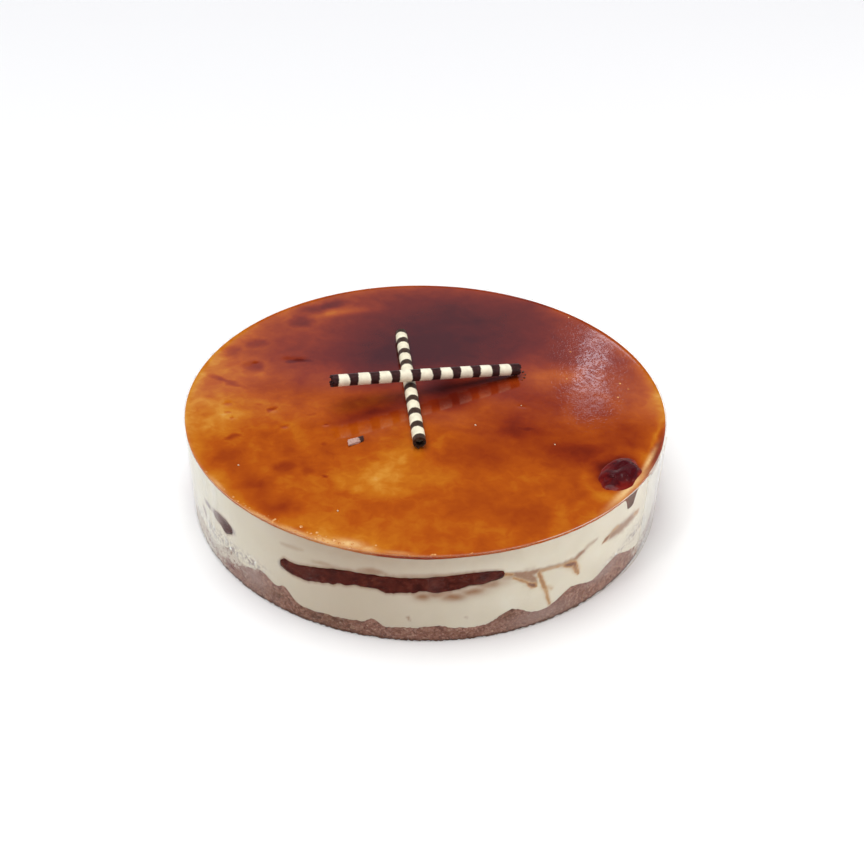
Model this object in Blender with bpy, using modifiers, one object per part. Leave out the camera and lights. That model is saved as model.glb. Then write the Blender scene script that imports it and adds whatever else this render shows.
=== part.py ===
"""Round cheesecake in its clear collar: crumb base, set cream with a cocoa sponge inside, a poured
caramel glaze with a thick caramel lump at its edge, and two crossed striped chocolate rolls.

Metres, +Z up. The origin is the centre of the flat underside, and -Y is the front, where the
sponge shows longest. A turn is an angle round the cake in degrees, 0 at the front, 90 at +X.
"""

import math

import bmesh
import bpy
from mathutils import Matrix, Vector, noise

# Driving dimensions
CAKE_DIAMETER = 0.240  # outside the collar, a 24 cm ring
GLAZE_HEIGHT = 0.0500  # the glaze's flat top
FIT = 0.0003  # the gap that touching pieces keep
STEPS = 144  # sections round the cake
SHARP_ANGLE = 40.0  # edges sharper than this, in degrees, are shaded as edges

# The clear collar, a strip of film wrapped round the cake
FILM = 0.0003
COLLAR_FOOT, COLLAR_TOP = 0.0005, 0.0508
COLLAR_STEPS = 120  # in one turn
COLLAR_SEAM = 60.0  # where the strip starts
COLLAR_LAP = 5  # steps by which its end laps over its start

CAKE_RADIUS = CAKE_DIAMETER / 2 - FILM - FIT

# The crumb base, with heaps where crumbs were pushed up against the ring
BASE_TOP = 0.0070
BASE_SHARES = (1.0, 0.93, 0.75, 0.40)  # its rings, as shares of the radius
BASE_ROUGHNESS = 0.0006
BASE_HEAPS = (  # turn, rise, half-width in degrees
    (-64, 0.0060, 7), (-48, 0.0090, 6), (-37.5, 0.0100, 4.5), (-31, 0.0064, 2.4), (-10.5, 0.0032, 1.5),
    (3.0, 0.0020, 3.6), (19.6, 0.0066, 4.0), (34.5, 0.0078, 4.8), (48, 0.0094, 7), (74, 0.0060, 10),
    (98, 0.0035, 5), (113, 0.0078, 8), (139, 0.0050, 5), (161, 0.0088, 9), (187, 0.0030, 4), (204, 0.0072, 8),
    (228, 0.0046, 5), (246, 0.0085, 9), (272, 0.0060, 7),
)  # fmt: skip

# The cocoa sponge, which slid while the cream set and so meets the collar only in places
SPONGE_MIDDLE = 0.0334
SPONGE_LEAN = 0.0039
SPONGE_LEAN_REACH = 0.050
SPONGE_BENDS = ((-14, 0.0018, 7), (-26, -0.0010, 5))  # turn, rise of its edge, half-width in degrees
SPONGE_HALF = 0.0042
SPONGE_TIP_HALF = 0.0007
SPONGE_NOSE = 0.004
SPONGE_SHRINK = 0.0026
SPONGE_SHRINK_TURN = 5.0
SPONGE_CRUMB = 0.0012
SLOT_OVERSHOOT = 0.0007
SPONGE_ARCS = (  # first turn, last turn, taper at the first, taper at the last
    (-32, 17, 5, 14), (-55, -46, 12, 10), (103, 131, 8, 5), (176, 214, 12, 6), (242, 256, 5, 7),
)  # fmt: skip

# The glaze's edge: a rebate round the cream's top, filled by a skirt of glaze that ran down there
REBATE = 0.0014
CREAM_EDGE_TOP = 0.0491
CREAM_TOP = 0.0480
CREAM_DISH_SHARE = 0.93  # of the radius, inside which the cream's top is flat
CREAM_DIMPLE = 0.00025
SKIRT_FOOT = 0.0490
SKIRT_SHELF = 0.0002
SKIRT_RUNS = (  # turn, run, half-width in degrees
    (-4, 0.0006, 9), (52, 0.0078, 2.4), (66, 0.0034, 4.5), (97, 0.0030, 3), (148, 0.0052, 2.8),
    (171, 0.0018, 5), (222, 0.0040, 3.2), (263, 0.0024, 4),
)  # fmt: skip
RIM_RISE = 0.0002  # how far the glaze climbs up the film
GLAZE_WAVE = 0.00020
GLAZE_SHARES = (0.985, 0.955, 0.90, 0.81, 0.69, 0.54, 0.36, 0.17)
GLAZE_DENTS = (  # x, y, radius, depth
    (-0.0707, 0.0752, 0.0055, 0.0008), (-0.0600, 0.0900, 0.0090, 0.0006),
    (-0.0927, 0.0509, 0.0050, 0.0007), (-0.1050, 0.0412, 0.0050, 0.0007),
    (-0.0917, 0.0258, 0.0062, 0.0009), (-0.0680, -0.0600, 0.0060, 0.0005),
    (-0.0650, -0.0810, 0.0065, 0.0006), (-0.0950, 0.0110, 0.0070, 0.0005),
)  # fmt: skip

# The thick caramel lump at the glaze's right edge, half sunk
LUMP_TURN, LUMP_REACH = 56.2, 0.1084
LUMP_SIZE = Vector((0.0140, 0.0087, 0.0036))  # half-sizes along the rim, across it and up
LUMP_HEIGHT = 0.0492
LUMP_SIDES, LUMP_BANDS = 20, 12
LUMP_LOBES = ((-0.50, 0.15), (0.10, -0.25), (0.58, 0.20), (0.02, 0.55))  # in half-sizes
LUMP_LOBE_WIDTH = 0.30
LUMP_VALLEY = 0.40

# The chocolate shard stuck in the glaze
SHARD_SIZE = Vector((0.0085, 0.0042, 0.0022))
SHARD_PLACE = Vector((-0.0330, -0.0384, 0.0506))
SHARD_HEADING = 36.0
SHARD_TILT = 6.0
SHARD_BEVEL = 0.0005

# The two rolls, each a sheet of chocolate rolled up on itself
ROLL_LENGTH = 0.1015
ROLL_RADIUS = 0.00345
ROLL_BORE = 0.0017
ROLL_LIP = 0.0005  # the step where the sheet's edge ends
ROLL_SIDES, BORE_SIDES = 36, 16
LOWER_ROLL_MIDDLE = Vector((-0.0082, 0.0067, 0.0))
LOWER_ROLL_HEADING = 6.6  # the turn it points along, towards the front
UPPER_ROLL_FOOT = Vector((0.0484, 0.0232, 0.0))
UPPER_ROLL_HEADING = -70.5  # the turn it points along, from its foot


def wrapped(turn):
    return (turn + 180) % 360 - 180


def hump(turn, centre, half_width):
    return math.exp(-((wrapped(turn - centre) / half_width) ** 2))


def around(turn, radius, height=0.0):
    return Vector((radius * math.sin(math.radians(turn)), -radius * math.cos(math.radians(turn)), height))


def rough(turn, radius, height, grain):
    """Even noise from -1 to 1, the same for every piece that asks about one place."""
    return noise.noise(around(turn, radius, height) / grain)


def ease(share):
    share = min(1.0, max(0.0, share))
    return share * share * (3 - 2 * share)


# Heights and edges


def base_top(turn, share):
    """The base's upper face at a share of the radius: heaped at the ring, flatter inside."""
    heaps = sum(rise * hump(turn, centre, width) for centre, rise, width in BASE_HEAPS)
    fine = BASE_ROUGHNESS * rough(turn, share * CAKE_RADIUS, 0, 0.006)
    return BASE_TOP + heaps * share**6 + fine + 0.5 * BASE_ROUGHNESS * share


def sponge_contact(turn):
    """(nearness to the film from 0 to 1, share of the lower and of the upper half-thickness)."""
    near, lower, upper = 0.0, 0.0, 0.0
    for first, last, first_taper, last_taper in SPONGE_ARCS:
        middle, span = (first + last) / 2, (last - first) / 2
        inside = span - abs(wrapped(turn - middle))
        taper = first_taper if wrapped(turn - middle) < 0 else last_taper
        near = max(near, ease(1 + inside / SPONGE_SHRINK_TURN))
        if inside > 0:
            lower = min(1.0, inside / taper) ** 0.6
            upper = min(1.0, 2.5 * inside / taper) ** 0.6
    return near, lower, upper


def sponge_middle(turn, radius):
    lean = SPONGE_LEAN * math.sin(around(turn, radius).x / SPONGE_LEAN_REACH)
    bend = sum(rise * hump(turn, centre, width) for centre, rise, width in SPONGE_BENDS)
    return SPONGE_MIDDLE + lean + bend * (radius / CAKE_RADIUS) ** 8


def skirt_foot(turn):
    return SKIRT_FOOT - sum(run * hump(turn, centre, width) for centre, run, width in SKIRT_RUNS)


def glaze_top(turn, radius):
    """The glaze's upper face: low waves and dents, never above the flat height."""
    place = around(turn, radius)
    wave = GLAZE_WAVE * 0.5 * (rough(turn, radius, 0, 0.030) - 1)
    dents = sum(
        depth * math.exp(-((place.x - x) ** 2 + (place.y - y) ** 2) / size**2)
        for x, y, size, depth in GLAZE_DENTS
    )
    return GLAZE_HEIGHT + wave - dents


# Sections: (radius, height) of each ring at a turn, from the axis below to the axis above


def base_section(turn):
    rim_height = base_top(turn, 1)
    wall = []
    for height in (0.0, rim_height / 3, rim_height * 2 / 3):
        hollow = 0.6 * BASE_ROUGHNESS * (1 + rough(turn, CAKE_RADIUS, height, 0.004))
        wall.append((CAKE_RADIUS - hollow, height))
    top = [(share * CAKE_RADIUS, base_top(turn, share)) for share in BASE_SHARES]
    return [(0.0, 0.0), *wall, *top, (0.0, base_top(0, 0))]


def cream_section(turn):
    underside = [(share * CAKE_RADIUS, base_top(turn, share) + FIT) for share in reversed(BASE_SHARES)]
    foot = underside[-1][1]
    shelf = skirt_foot(turn) - FIT
    dimple = CREAM_DIMPLE * (1 + rough(turn, CAKE_RADIUS, foot, 0.012))
    rebate = CAKE_RADIUS - REBATE
    return [
        (0.0, base_top(0, 0) + FIT),
        *underside,
        (CAKE_RADIUS - dimple, (foot + shelf) / 2),
        (CAKE_RADIUS, shelf),
        (rebate, shelf + SKIRT_SHELF),
        (rebate, CREAM_EDGE_TOP),
        (CREAM_DISH_SHARE * CAKE_RADIUS, CREAM_TOP),
        (0.0, CREAM_TOP),
    ]


def glaze_section(turn):
    foot = skirt_foot(turn)
    inner = CAKE_RADIUS - REBATE + FIT
    top = [(share * CAKE_RADIUS, glaze_top(turn, share * CAKE_RADIUS)) for share in GLAZE_SHARES]
    return [
        (0.0, CREAM_TOP + FIT),
        (CREAM_DISH_SHARE * CAKE_RADIUS, CREAM_TOP + FIT),
        (inner, CREAM_EDGE_TOP + FIT),
        (inner, foot + SKIRT_SHELF),
        (CAKE_RADIUS, foot),
        (CAKE_RADIUS, GLAZE_HEIGHT + RIM_RISE),
        *top,
        (0.0, glaze_top(0, 0)),
    ]


def sponge_section(turn, growth=0.0, overshoot=0.0):
    """A flat-topped disc with a blunt nose. Growth and overshoot make it the cutter of its pocket,
    which runs past the cream's wall where the sponge meets the film."""
    near, lower, upper = sponge_contact(turn)
    rim = CAKE_RADIUS - SPONGE_SHRINK * (1 - near)
    flat = rim - SPONGE_NOSE
    crumb = SPONGE_CRUMB * rough(turn, CAKE_RADIUS, 0, 0.005)
    below = SPONGE_TIP_HALF + (SPONGE_HALF - SPONGE_TIP_HALF + crumb) * lower + growth
    above = SPONGE_TIP_HALF + (SPONGE_HALF - SPONGE_TIP_HALF) * upper + growth
    reach = rim + growth + (overshoot if lower > 0 else 0.0)
    half = SPONGE_HALF + growth
    return [
        (0.0, SPONGE_MIDDLE - half),
        (flat, sponge_middle(turn, flat) - half),
        (reach, sponge_middle(turn, rim) - below),
        (reach, sponge_middle(turn, rim) + above),
        (flat, sponge_middle(turn, flat) + half),
        (0.0, SPONGE_MIDDLE + half),
    ]


def pocket_section(turn):
    return sponge_section(turn, FIT, SLOT_OVERSHOOT)


# Making pieces


def clear_scene():
    for obj in list(bpy.data.objects):
        bpy.data.objects.remove(obj, do_unlink=True)


def new_collection(name, hidden=False):
    collection = bpy.data.collections.new(name)
    bpy.context.scene.collection.children.link(collection)
    collection.hide_render = hidden
    return collection


def new_material(name, colour, roughness, alpha=1.0, transmission=0.0):
    material = bpy.data.materials.new(name)
    material.use_nodes = True
    shader = material.node_tree.nodes["Principled BSDF"]
    shader.inputs["Base Color"].default_value = (*colour, 1.0)
    shader.inputs["Roughness"].default_value = roughness
    shader.inputs["Metallic"].default_value = 0.0
    shader.inputs["Alpha"].default_value = alpha
    shader.inputs["Transmission Weight"].default_value = transmission
    return material


def shade(mesh):
    mesh.shade_smooth()
    mesh.set_sharp_from_angle(angle=math.radians(SHARP_ANGLE))


def new_object(name, bm, collection, material=None):
    mesh = bpy.data.meshes.new(name)
    bm.to_mesh(mesh)
    bm.free()
    if material:
        mesh.materials.append(material)
    shade(mesh)
    obj = bpy.data.objects.new(name, mesh)
    collection.objects.link(obj)
    return obj


def new_cutter(name, bm, cutters):
    cutter = new_object(name, bm, cutters)
    cutter.display_type = "WIRE"
    cutter.hide_render = True
    return cutter


def turned_mesh(section):
    """Spins a ladder of rings about +Z, then moves each corner to where section says it lies.

    The first and last rings close on the axis. Each four-sided face is split from the corner
    nearer the rim or lower at one step to the other corner at the next, so that two layers that
    meet split alike and keep their gap.
    """
    sections = [section(wrapped(step * 360 / STEPS)) for step in range(STEPS)]
    top = len(sections[0]) - 1
    bm = bmesh.new()
    ladder = [bm.verts.new((float(0 < ring < top), 0.0, float(ring))) for ring in range(top + 1)]
    rungs = [bm.edges.new(pair) for pair in zip(ladder, ladder[1:])]
    bmesh.ops.spin(
        bm, geom=ladder + rungs, cent=(0, 0, 0), axis=(0, 0, 1), dvec=(0, 0, 0),
        angle=math.tau, steps=STEPS, use_merge=True,
    )  # fmt: skip
    bmesh.ops.remove_doubles(bm, verts=bm.verts, dist=1e-5)
    step_of = {}
    for vert in bm.verts:
        ring = round(vert.co.z)
        turn = math.degrees(math.atan2(vert.co.x, -vert.co.y)) if 0 < ring < top else 0.0
        step_of[vert] = round(turn * STEPS / 360) % STEPS
        vert.co = around(step_of[vert] * 360 / STEPS, *sections[step_of[vert]][ring])
    for face in [face for face in bm.faces if len(face.verts) == 4]:
        steps = {step_of[vert] for vert in face.verts}
        first = STEPS - 1 if steps == {0, STEPS - 1} else min(steps)
        start = max(
            (vert for vert in face.verts if step_of[vert] == first),
            key=lambda vert: vert.co.xy.length - vert.co.z,
        )
        end = face.verts[(list(face.verts).index(start) + 2) % 4]
        bmesh.utils.face_split(face, start, end)
    bmesh.ops.recalc_face_normals(bm, faces=bm.faces)
    return bm


def join_or_cut(target, operation, operand):
    """One Boolean on the target by an object or by all of a collection's objects, applied."""
    modifier = target.modifiers.new(operand.name, "BOOLEAN")
    modifier.operation = operation
    modifier.solver = "EXACT"
    if isinstance(operand, bpy.types.Collection):
        modifier.operand_type = "COLLECTION"
        modifier.collection = operand
    else:
        modifier.object = operand
    graph = bpy.context.evaluated_depsgraph_get()
    target.data = bpy.data.meshes.new_from_object(target.evaluated_get(graph))
    target.modifiers.clear()
    shade(target.data)


def lump_mesh(growth=0.0, lobed=True):
    """A flattened ball whose upper half is drawn up into lobes with valleys between them."""
    bm = bmesh.new()
    bmesh.ops.create_uvsphere(bm, u_segments=LUMP_SIDES, v_segments=LUMP_BANDS, radius=1.0)
    for vert in bm.verts:
        if lobed and vert.co.z > 0:
            nearest = min((vert.co.xy - Vector(lobe)).length for lobe in LUMP_LOBES)
            lobe = math.exp(-((nearest / LUMP_LOBE_WIDTH) ** 2))
            vert.co.z *= LUMP_VALLEY + (1 - LUMP_VALLEY) * lobe
        vert.co = Vector(co * (size + growth) for co, size in zip(vert.co, LUMP_SIZE))
    place = Matrix.Translation(around(LUMP_TURN, LUMP_REACH, LUMP_HEIGHT))
    bmesh.ops.transform(bm, matrix=place @ Matrix.Rotation(math.radians(LUMP_TURN), 4, "Z"), verts=bm.verts)
    return bm


def shard_mesh():
    bm = bmesh.new()
    bmesh.ops.create_cube(bm, size=1.0, matrix=Matrix.Diagonal((*SHARD_SIZE, 1.0)))
    bmesh.ops.bevel(bm, geom=bm.edges, offset=SHARD_BEVEL, segments=1, affect="EDGES")
    turned = Matrix.Rotation(math.radians(SHARD_HEADING), 4, "Z") @ Matrix.Rotation(
        math.radians(SHARD_TILT), 4, "Y"
    )
    bmesh.ops.transform(bm, matrix=Matrix.Translation(SHARD_PLACE) @ turned, verts=bm.verts)
    return bm


def fuse(target, toppings):
    """Joins a collection's objects to the target and then removes them."""
    join_or_cut(target, "UNION", toppings)
    for obj in list(toppings.objects):
        bpy.data.objects.remove(obj, do_unlink=True)
    bpy.data.collections.remove(toppings)


def add_collar(collection, material):
    """An upright strip wrapped once round the cake, with its end lapped outside its start."""
    inner = CAKE_RADIUS + FIT + FILM / 2
    total = COLLAR_STEPS + COLLAR_LAP
    bm = bmesh.new()
    foot = []
    for step in range(total + 1):
        lap = ease((step - COLLAR_STEPS + COLLAR_LAP) / COLLAR_LAP) * (FILM + FIT)
        foot.append(bm.verts.new(around(COLLAR_SEAM + step * 360 / COLLAR_STEPS, inner + lap, COLLAR_FOOT)))
    edges = [bm.edges.new(pair) for pair in zip(foot, foot[1:])]
    raised = bmesh.ops.extrude_edge_only(bm, edges=edges)["geom"]
    lifted = [vert for vert in raised if isinstance(vert, bmesh.types.BMVert)]
    bmesh.ops.translate(bm, verts=lifted, vec=(0, 0, COLLAR_TOP - COLLAR_FOOT))
    collar = new_object("clear_collar", bm, collection, material)
    wall = collar.modifiers.new("film_thickness", "SOLIDIFY")
    wall.thickness = FILM
    wall.offset = 0.0
    return collar


def roll_outline():
    """A rolled sheet's end: the outside closes in a little all the way round, to a step."""
    outer = []
    for side in range(ROLL_SIDES):
        share = side / (ROLL_SIDES - 1)
        radius = ROLL_RADIUS - ROLL_LIP * share
        angle = math.tau * share * (1 - 0.3 / ROLL_SIDES)
        outer.append((radius * math.cos(angle), radius * math.sin(angle)))
    bore = []
    for side in range(BORE_SIDES):
        angle = math.tau * side / BORE_SIDES
        bore.append((ROLL_BORE * math.cos(angle), ROLL_BORE * math.sin(angle)))
    return outer, bore


def add_roll(name, collection, material, start, end):
    curve = bpy.data.curves.new(name, "CURVE")
    curve.dimensions = "2D"
    curve.fill_mode = "BOTH"
    curve.extrude = ROLL_LENGTH / 2
    for outline in roll_outline():
        spline = curve.splines.new("POLY")
        spline.points.add(len(outline) - 1)
        for point, (x, y) in zip(spline.points, outline):
            point.co = (x, y, 0.0, 1.0)
        spline.use_cyclic_u = True
    curve.materials.append(material)
    obj = bpy.data.objects.new(name, curve)
    obj.location = (start + end) / 2
    obj.rotation_mode = "QUATERNION"
    obj.rotation_quaternion = (end - start).to_track_quat("Z", "Y")
    collection.objects.link(obj)
    return obj


def lower_roll_ends():
    heading = around(LOWER_ROLL_HEADING, 1.0)
    middle = LOWER_ROLL_MIDDLE + Vector((0, 0, GLAZE_HEIGHT + FIT + ROLL_RADIUS))
    return middle - heading * ROLL_LENGTH / 2, middle + heading * ROLL_LENGTH / 2


def upper_roll_ends():
    """It stands on its right foot and leans over the lower roll, so its slope follows from them."""
    heading = around(UPPER_ROLL_HEADING, 1.0)
    along = around(LOWER_ROLL_HEADING, 1.0)
    offset = LOWER_ROLL_MIDDLE - UPPER_ROLL_FOOT
    run = (offset.x * along.y - offset.y * along.x) / (heading.x * along.y - heading.y * along.x)
    slope = math.asin((2 * ROLL_RADIUS + FIT) / run)
    foot = UPPER_ROLL_FOOT + Vector((0, 0, GLAZE_HEIGHT + FIT + ROLL_RADIUS))
    return foot, foot + (heading * math.cos(slope) + Vector((0, 0, math.sin(slope)))) * ROLL_LENGTH


def build_cheesecake():
    clear_scene()
    cake = new_collection("cheesecake")
    cutters = new_collection("cheesecake_cutters", hidden=True)

    crumb = new_material("biscuit_crumb", (0.27, 0.19, 0.17), 0.85)
    cream = new_material("set_cream", (0.78, 0.74, 0.66), 0.45)
    sponge = new_material("cocoa_sponge", (0.075, 0.030, 0.028), 0.80)
    caramel = new_material("caramel_glaze", (0.50, 0.17, 0.03), 0.12)
    thick_caramel = new_material("thick_caramel", (0.12, 0.015, 0.012), 0.10)
    film = new_material("clear_film", (0.95, 0.96, 0.96), 0.08, alpha=0.25, transmission=0.9)
    chocolate = new_material("striped_chocolate", (0.60, 0.52, 0.40), 0.40)

    new_object("biscuit_base", turned_mesh(base_section), cake, crumb)
    new_object("cocoa_sponge", turned_mesh(sponge_section), cake, sponge)
    filling = new_object("cheese_filling", turned_mesh(cream_section), cake, cream)
    glaze = new_object("caramel_glaze", turned_mesh(glaze_section), cake, caramel)
    new_object("caramel_lump", lump_mesh(), cake, thick_caramel)

    toppings = new_collection("toppings")
    new_object("chocolate_shard", shard_mesh(), toppings)
    fuse(glaze, toppings)

    pocket = new_cutter("sponge_pocket", turned_mesh(pocket_section), cutters)
    join_or_cut(filling, "DIFFERENCE", pocket)
    hollow = new_cutter("lump_hollow", lump_mesh(FIT, lobed=False), cutters)
    join_or_cut(filling, "DIFFERENCE", hollow)
    join_or_cut(glaze, "DIFFERENCE", hollow)

    add_collar(cake, film)
    add_roll("chocolate_roll_lower", cake, chocolate, *lower_roll_ends())
    add_roll("chocolate_roll_upper", cake, chocolate, *upper_roll_ends())


build_cheesecake()
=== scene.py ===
"""The finished look of a round caramel cheesecake in its clear collar.

Metres, +Z up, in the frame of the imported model: the origin is the centre of the flat underside and
-Y is the front. A turn is an angle round the cake in degrees, 0 at the front and 90 at +X.
"""

import math
import random

import bmesh
import bpy
from mathutils import Matrix, Vector, noise


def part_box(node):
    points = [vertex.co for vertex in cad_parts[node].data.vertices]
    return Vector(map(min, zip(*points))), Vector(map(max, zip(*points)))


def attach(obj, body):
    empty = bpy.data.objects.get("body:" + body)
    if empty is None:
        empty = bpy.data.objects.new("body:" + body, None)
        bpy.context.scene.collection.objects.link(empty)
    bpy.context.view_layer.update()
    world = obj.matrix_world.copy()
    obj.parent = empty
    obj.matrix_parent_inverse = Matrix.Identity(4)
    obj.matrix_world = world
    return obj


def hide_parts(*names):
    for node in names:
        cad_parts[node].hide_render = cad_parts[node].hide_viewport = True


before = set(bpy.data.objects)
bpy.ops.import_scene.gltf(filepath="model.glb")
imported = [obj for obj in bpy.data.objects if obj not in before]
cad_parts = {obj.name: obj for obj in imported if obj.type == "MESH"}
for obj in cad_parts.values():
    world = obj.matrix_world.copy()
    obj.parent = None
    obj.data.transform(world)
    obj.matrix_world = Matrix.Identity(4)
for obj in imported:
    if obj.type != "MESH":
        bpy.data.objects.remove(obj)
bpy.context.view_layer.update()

# ------------------------------------------------------------------------------ The crumb base
# Cocoa biscuit crushed with butter and pressed into the ring by hand. The crumbs heap up against
# the ring's wall, and at the left cream was smeared over them as the filling went in.

CAKE_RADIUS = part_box("caramel_glaze")[1].x
MM = 0.001  # tables of spots give turns and half-widths in degrees and all else in millimetres
FIT = 0.0003  # the gap between layers
WALL_STEPS = 900  # sections round the cake in the layers that show at its side

BASE_TOP = 0.007
BASE_SHARES = (1.0, 0.985, 0.96, 0.93, 0.75, 0.4)  # rings of its upper face, as shares of the radius
BASE_ROUGHNESS, BASE_GRAIN = 0.0006, 0.006
HEAP_POWER = 6  # the heaps rise only near the wall
BASE_HEAPS = (  # turn, rise, half-width in degrees
    (-64, 6, 7), (-48, 9, 6), (-37.5, 10, 4.5), (-31, 6.4, 2.4), (-10.5, 3.2, 1.5), (-15, 1, 8),
    (-2.5, 0.7, 3), (3, 2, 3.6), (19.6, 6.6, 4), (34.5, 7.8, 4.8), (48, 9.4, 7), (74, 6, 10),
    (98, 3.5, 5), (113, 7.8, 8), (139, 5, 5), (161, 8.8, 9), (187, 3, 4), (204, 7.2, 8), (228, 4.6, 5),
    (246, 8.5, 9), (272, 6, 7),
)  # fmt: skip
BASE_WALL_ROWS = 26
CRUMB_SIZE = 0.0014
CRUMB_PIT = 0.0007  # how deep the gaps between crumbs go
CRUMB_JAG = 0.0007  # how far single crumbs stand up along its top line
CRUMB_FULLNESS = 1.3  # how soon the gaps between crumbs deepen
SMEAR_WIDTH, SMEAR_HEIGHT = 1.6, 0.0022  # of the streaks in the smeared cream, in degrees and metres
SMEARED_CREAM = (  # turn, height, half-width in degrees, half-height
    (-55, 11, 8, 7.5), (-48, 12.5, 4.5, 5), (-42, 16.5, 3, 2.4), (-45, 15, 3, 3), (-67, 9, 9, 10),
    (-57, 15, 6, 3.5), (-60, 3, 9, 2.5), (62, 8, 6, 7), (128, 10, 6, 3), (196, 9, 5, 3), (240, 12, 6, 4),
)  # fmt: skip
VEILED_CRUMB = (  # where a thin veil of cream greys it: turn, height, half-width in degrees, half-height
    (-41, 11, 5.5, 8), (27, 5, 9, 6), (-56, 8, 9, 8), (44, 12, 6, 4), (210, 11, 8, 5),
)  # fmt: skip
DAMP_AND_SHADED_CRUMB = (  # where syrup soaked it dark, and at the front left painted shade: turn, height, half-width in degrees, half-height
    (-22, 4, 8, 6), (-33, 7.5, 3, 4), (19, 11, 2.5, 3), (150, 8, 9, 6),
)  # fmt: skip
RED_CRUMB = ((-49, 5, 2.4, 1.5),)  # a darker, redder lump of crumb


def wrapped(turn):
    return (turn + 180) % 360 - 180


def hump(turn, centre, half_width):
    return math.exp(-((wrapped(turn - centre) / half_width) ** 2))


def rises(turn, humps):
    return MM * sum(rise * hump(turn, centre, half_width) for centre, rise, half_width in humps)


def patch(turn, height, centre, middle, half_width, half_height, most=1.0):
    """Most in the middle of a spot on the side, falling off smoothly round it."""
    return most * hump(turn, centre, half_width) * math.exp(-(((height / MM - middle) / half_height) ** 2))


def strongest(spots):
    """For paint: the amount of the strongest of these spots at a place on the side."""

    def amount(place):
        turn = turn_of(place)
        return max(patch(turn, place.z, *spot) for spot in spots)

    return amount


def around(turn, radius, height=0.0):
    return Vector((radius * math.sin(math.radians(turn)), -radius * math.cos(math.radians(turn)), height))


def rough(turn, radius, height, grain):
    """Even noise from -1 to 1, the same for every layer that asks about one place."""
    return noise.noise(around(turn, radius, height) / grain)


def ease(share):
    share = min(1.0, max(0.0, share))
    return share * share * (3 - 2 * share)


def base_top(turn, share):
    fine = BASE_ROUGHNESS * (rough(turn, share * CAKE_RADIUS, 0, BASE_GRAIN) + 0.5 * share)
    jag = CRUMB_JAG * rough(turn, share * CAKE_RADIUS, 0.01, CRUMB_SIZE)
    return BASE_TOP + fine + (rises(turn, BASE_HEAPS) + jag) * share**HEAP_POWER


def base_section(turn):
    rim_height = base_top(turn, 1)
    wall = []
    for row in range(BASE_WALL_ROWS):
        height = rim_height * row / BASE_WALL_ROWS
        place = around(turn, CAKE_RADIUS, height)
        gap = min(1.0, noise.voronoi(place / CRUMB_SIZE)[0][0] * CRUMB_FULLNESS) ** 2
        wall.append((CAKE_RADIUS - CRUMB_PIT * gap, height))
    top = [(share * CAKE_RADIUS, base_top(turn, share)) for share in BASE_SHARES]
    return [(0.0, 0.0), (CAKE_RADIUS * 0.9, 0.0), *wall, *top, (0.0, base_top(0, 0))]


def turned_mesh(name, section, steps):
    """Turns a ladder of rings about +Z. section(turn) gives the (radius, height) of each ring, from
    the axis below, out, up and back to the axis above."""
    sections = [section(wrapped(step * 360 / steps)) for step in range(steps)]
    rings = len(sections[0]) - 2
    corners = [(0.0, 0.0, sections[0][0][1]), (0.0, 0.0, sections[0][-1][1])]
    for step, rungs in enumerate(sections):
        corners += [tuple(around(step * 360 / steps, *rung)) for rung in rungs[1:-1]]
    faces = []
    for step in range(steps):
        near = 2 + step * rings
        far = 2 + (step + 1) % steps * rings
        faces.append((0, far, near))
        faces += [(near + ring, far + ring, far + ring + 1, near + ring + 1) for ring in range(rings - 1)]
        faces.append((1, near + rings - 1, far + rings - 1))
    mesh = bpy.data.meshes.new(name)
    mesh.from_pydata(corners, [], faces)
    mesh.shade_smooth()
    return mesh


def new_piece(name, mesh, material=None):
    piece = bpy.data.objects.new(name, mesh)
    bpy.context.scene.collection.objects.link(piece)
    if material:
        mesh.materials.append(material)
    return piece


def turn_of(place):
    return math.degrees(math.atan2(place.x, -place.y))


def paint(mesh, name, amount):
    """Stores amount(place) at each corner of the mesh, for its material to read."""
    values = [amount(corner.co) for corner in mesh.vertices]
    mesh.attributes.new(name, "FLOAT", "POINT").data.foreach_set("value", values)


def new_finish(name, roughness, specular=0.5):
    """A new material's nodes and its shader."""
    finish = bpy.data.materials.new(name)
    finish.use_nodes = True
    shader = finish.node_tree.nodes["Principled BSDF"]
    shader.inputs["Roughness"].default_value = roughness
    shader.inputs["Specular IOR Level"].default_value = specular
    return finish, shader


def add(finish, kind, settings=None, **inputs):
    """Adds a node. An input is a number, a colour, or another node's output, by its plain name."""
    node = finish.node_tree.nodes.new("ShaderNode" + kind)
    for key, value in (settings or {}).items():
        setattr(node, key, value)
    sockets = {socket.name.replace(" ", ""): socket for socket in reversed(node.inputs) if socket.enabled}
    for key, value in inputs.items():
        if isinstance(value, bpy.types.NodeSocket):
            finish.node_tree.links.new(value, sockets[key])
        elif isinstance(value, tuple) and sockets[key].type == "RGBA":
            sockets[key].default_value = (*value[:3], 1.0)
        else:
            sockets[key].default_value = value
    return node


def place_on(finish):
    return add(finish, "TexCoord").outputs["Object"]


def cloud(finish, grain, detail=3.0, stretch=(1, 1, 1), warp=0.0):
    """Noise from 0 to 1 whose lumps are about one grain, in metres, across."""
    scaled = add(finish, "Mapping", Vector=place_on(finish), Scale=stretch).outputs["Vector"]
    made = add(finish, "TexNoise", Vector=scaled, Scale=1 / grain, Detail=detail, Distortion=warp)
    return made.outputs["Fac"]


def amount_of(finish, name):
    return add(finish, "Attribute", {"attribute_name": name}).outputs["Fac"]


def ramp(finish, factor, *stops):
    """Colours along a factor, each stop a (position, colour)."""
    node = add(finish, "ValToRGB", Fac=factor)
    elements = node.color_ramp.elements
    while len(elements) < len(stops):
        elements.new(0.5)
    for element, (position, colour) in zip(elements, stops):
        element.position = position
        element.color = (*colour, 1.0)
    return node.outputs["Color"]


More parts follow.
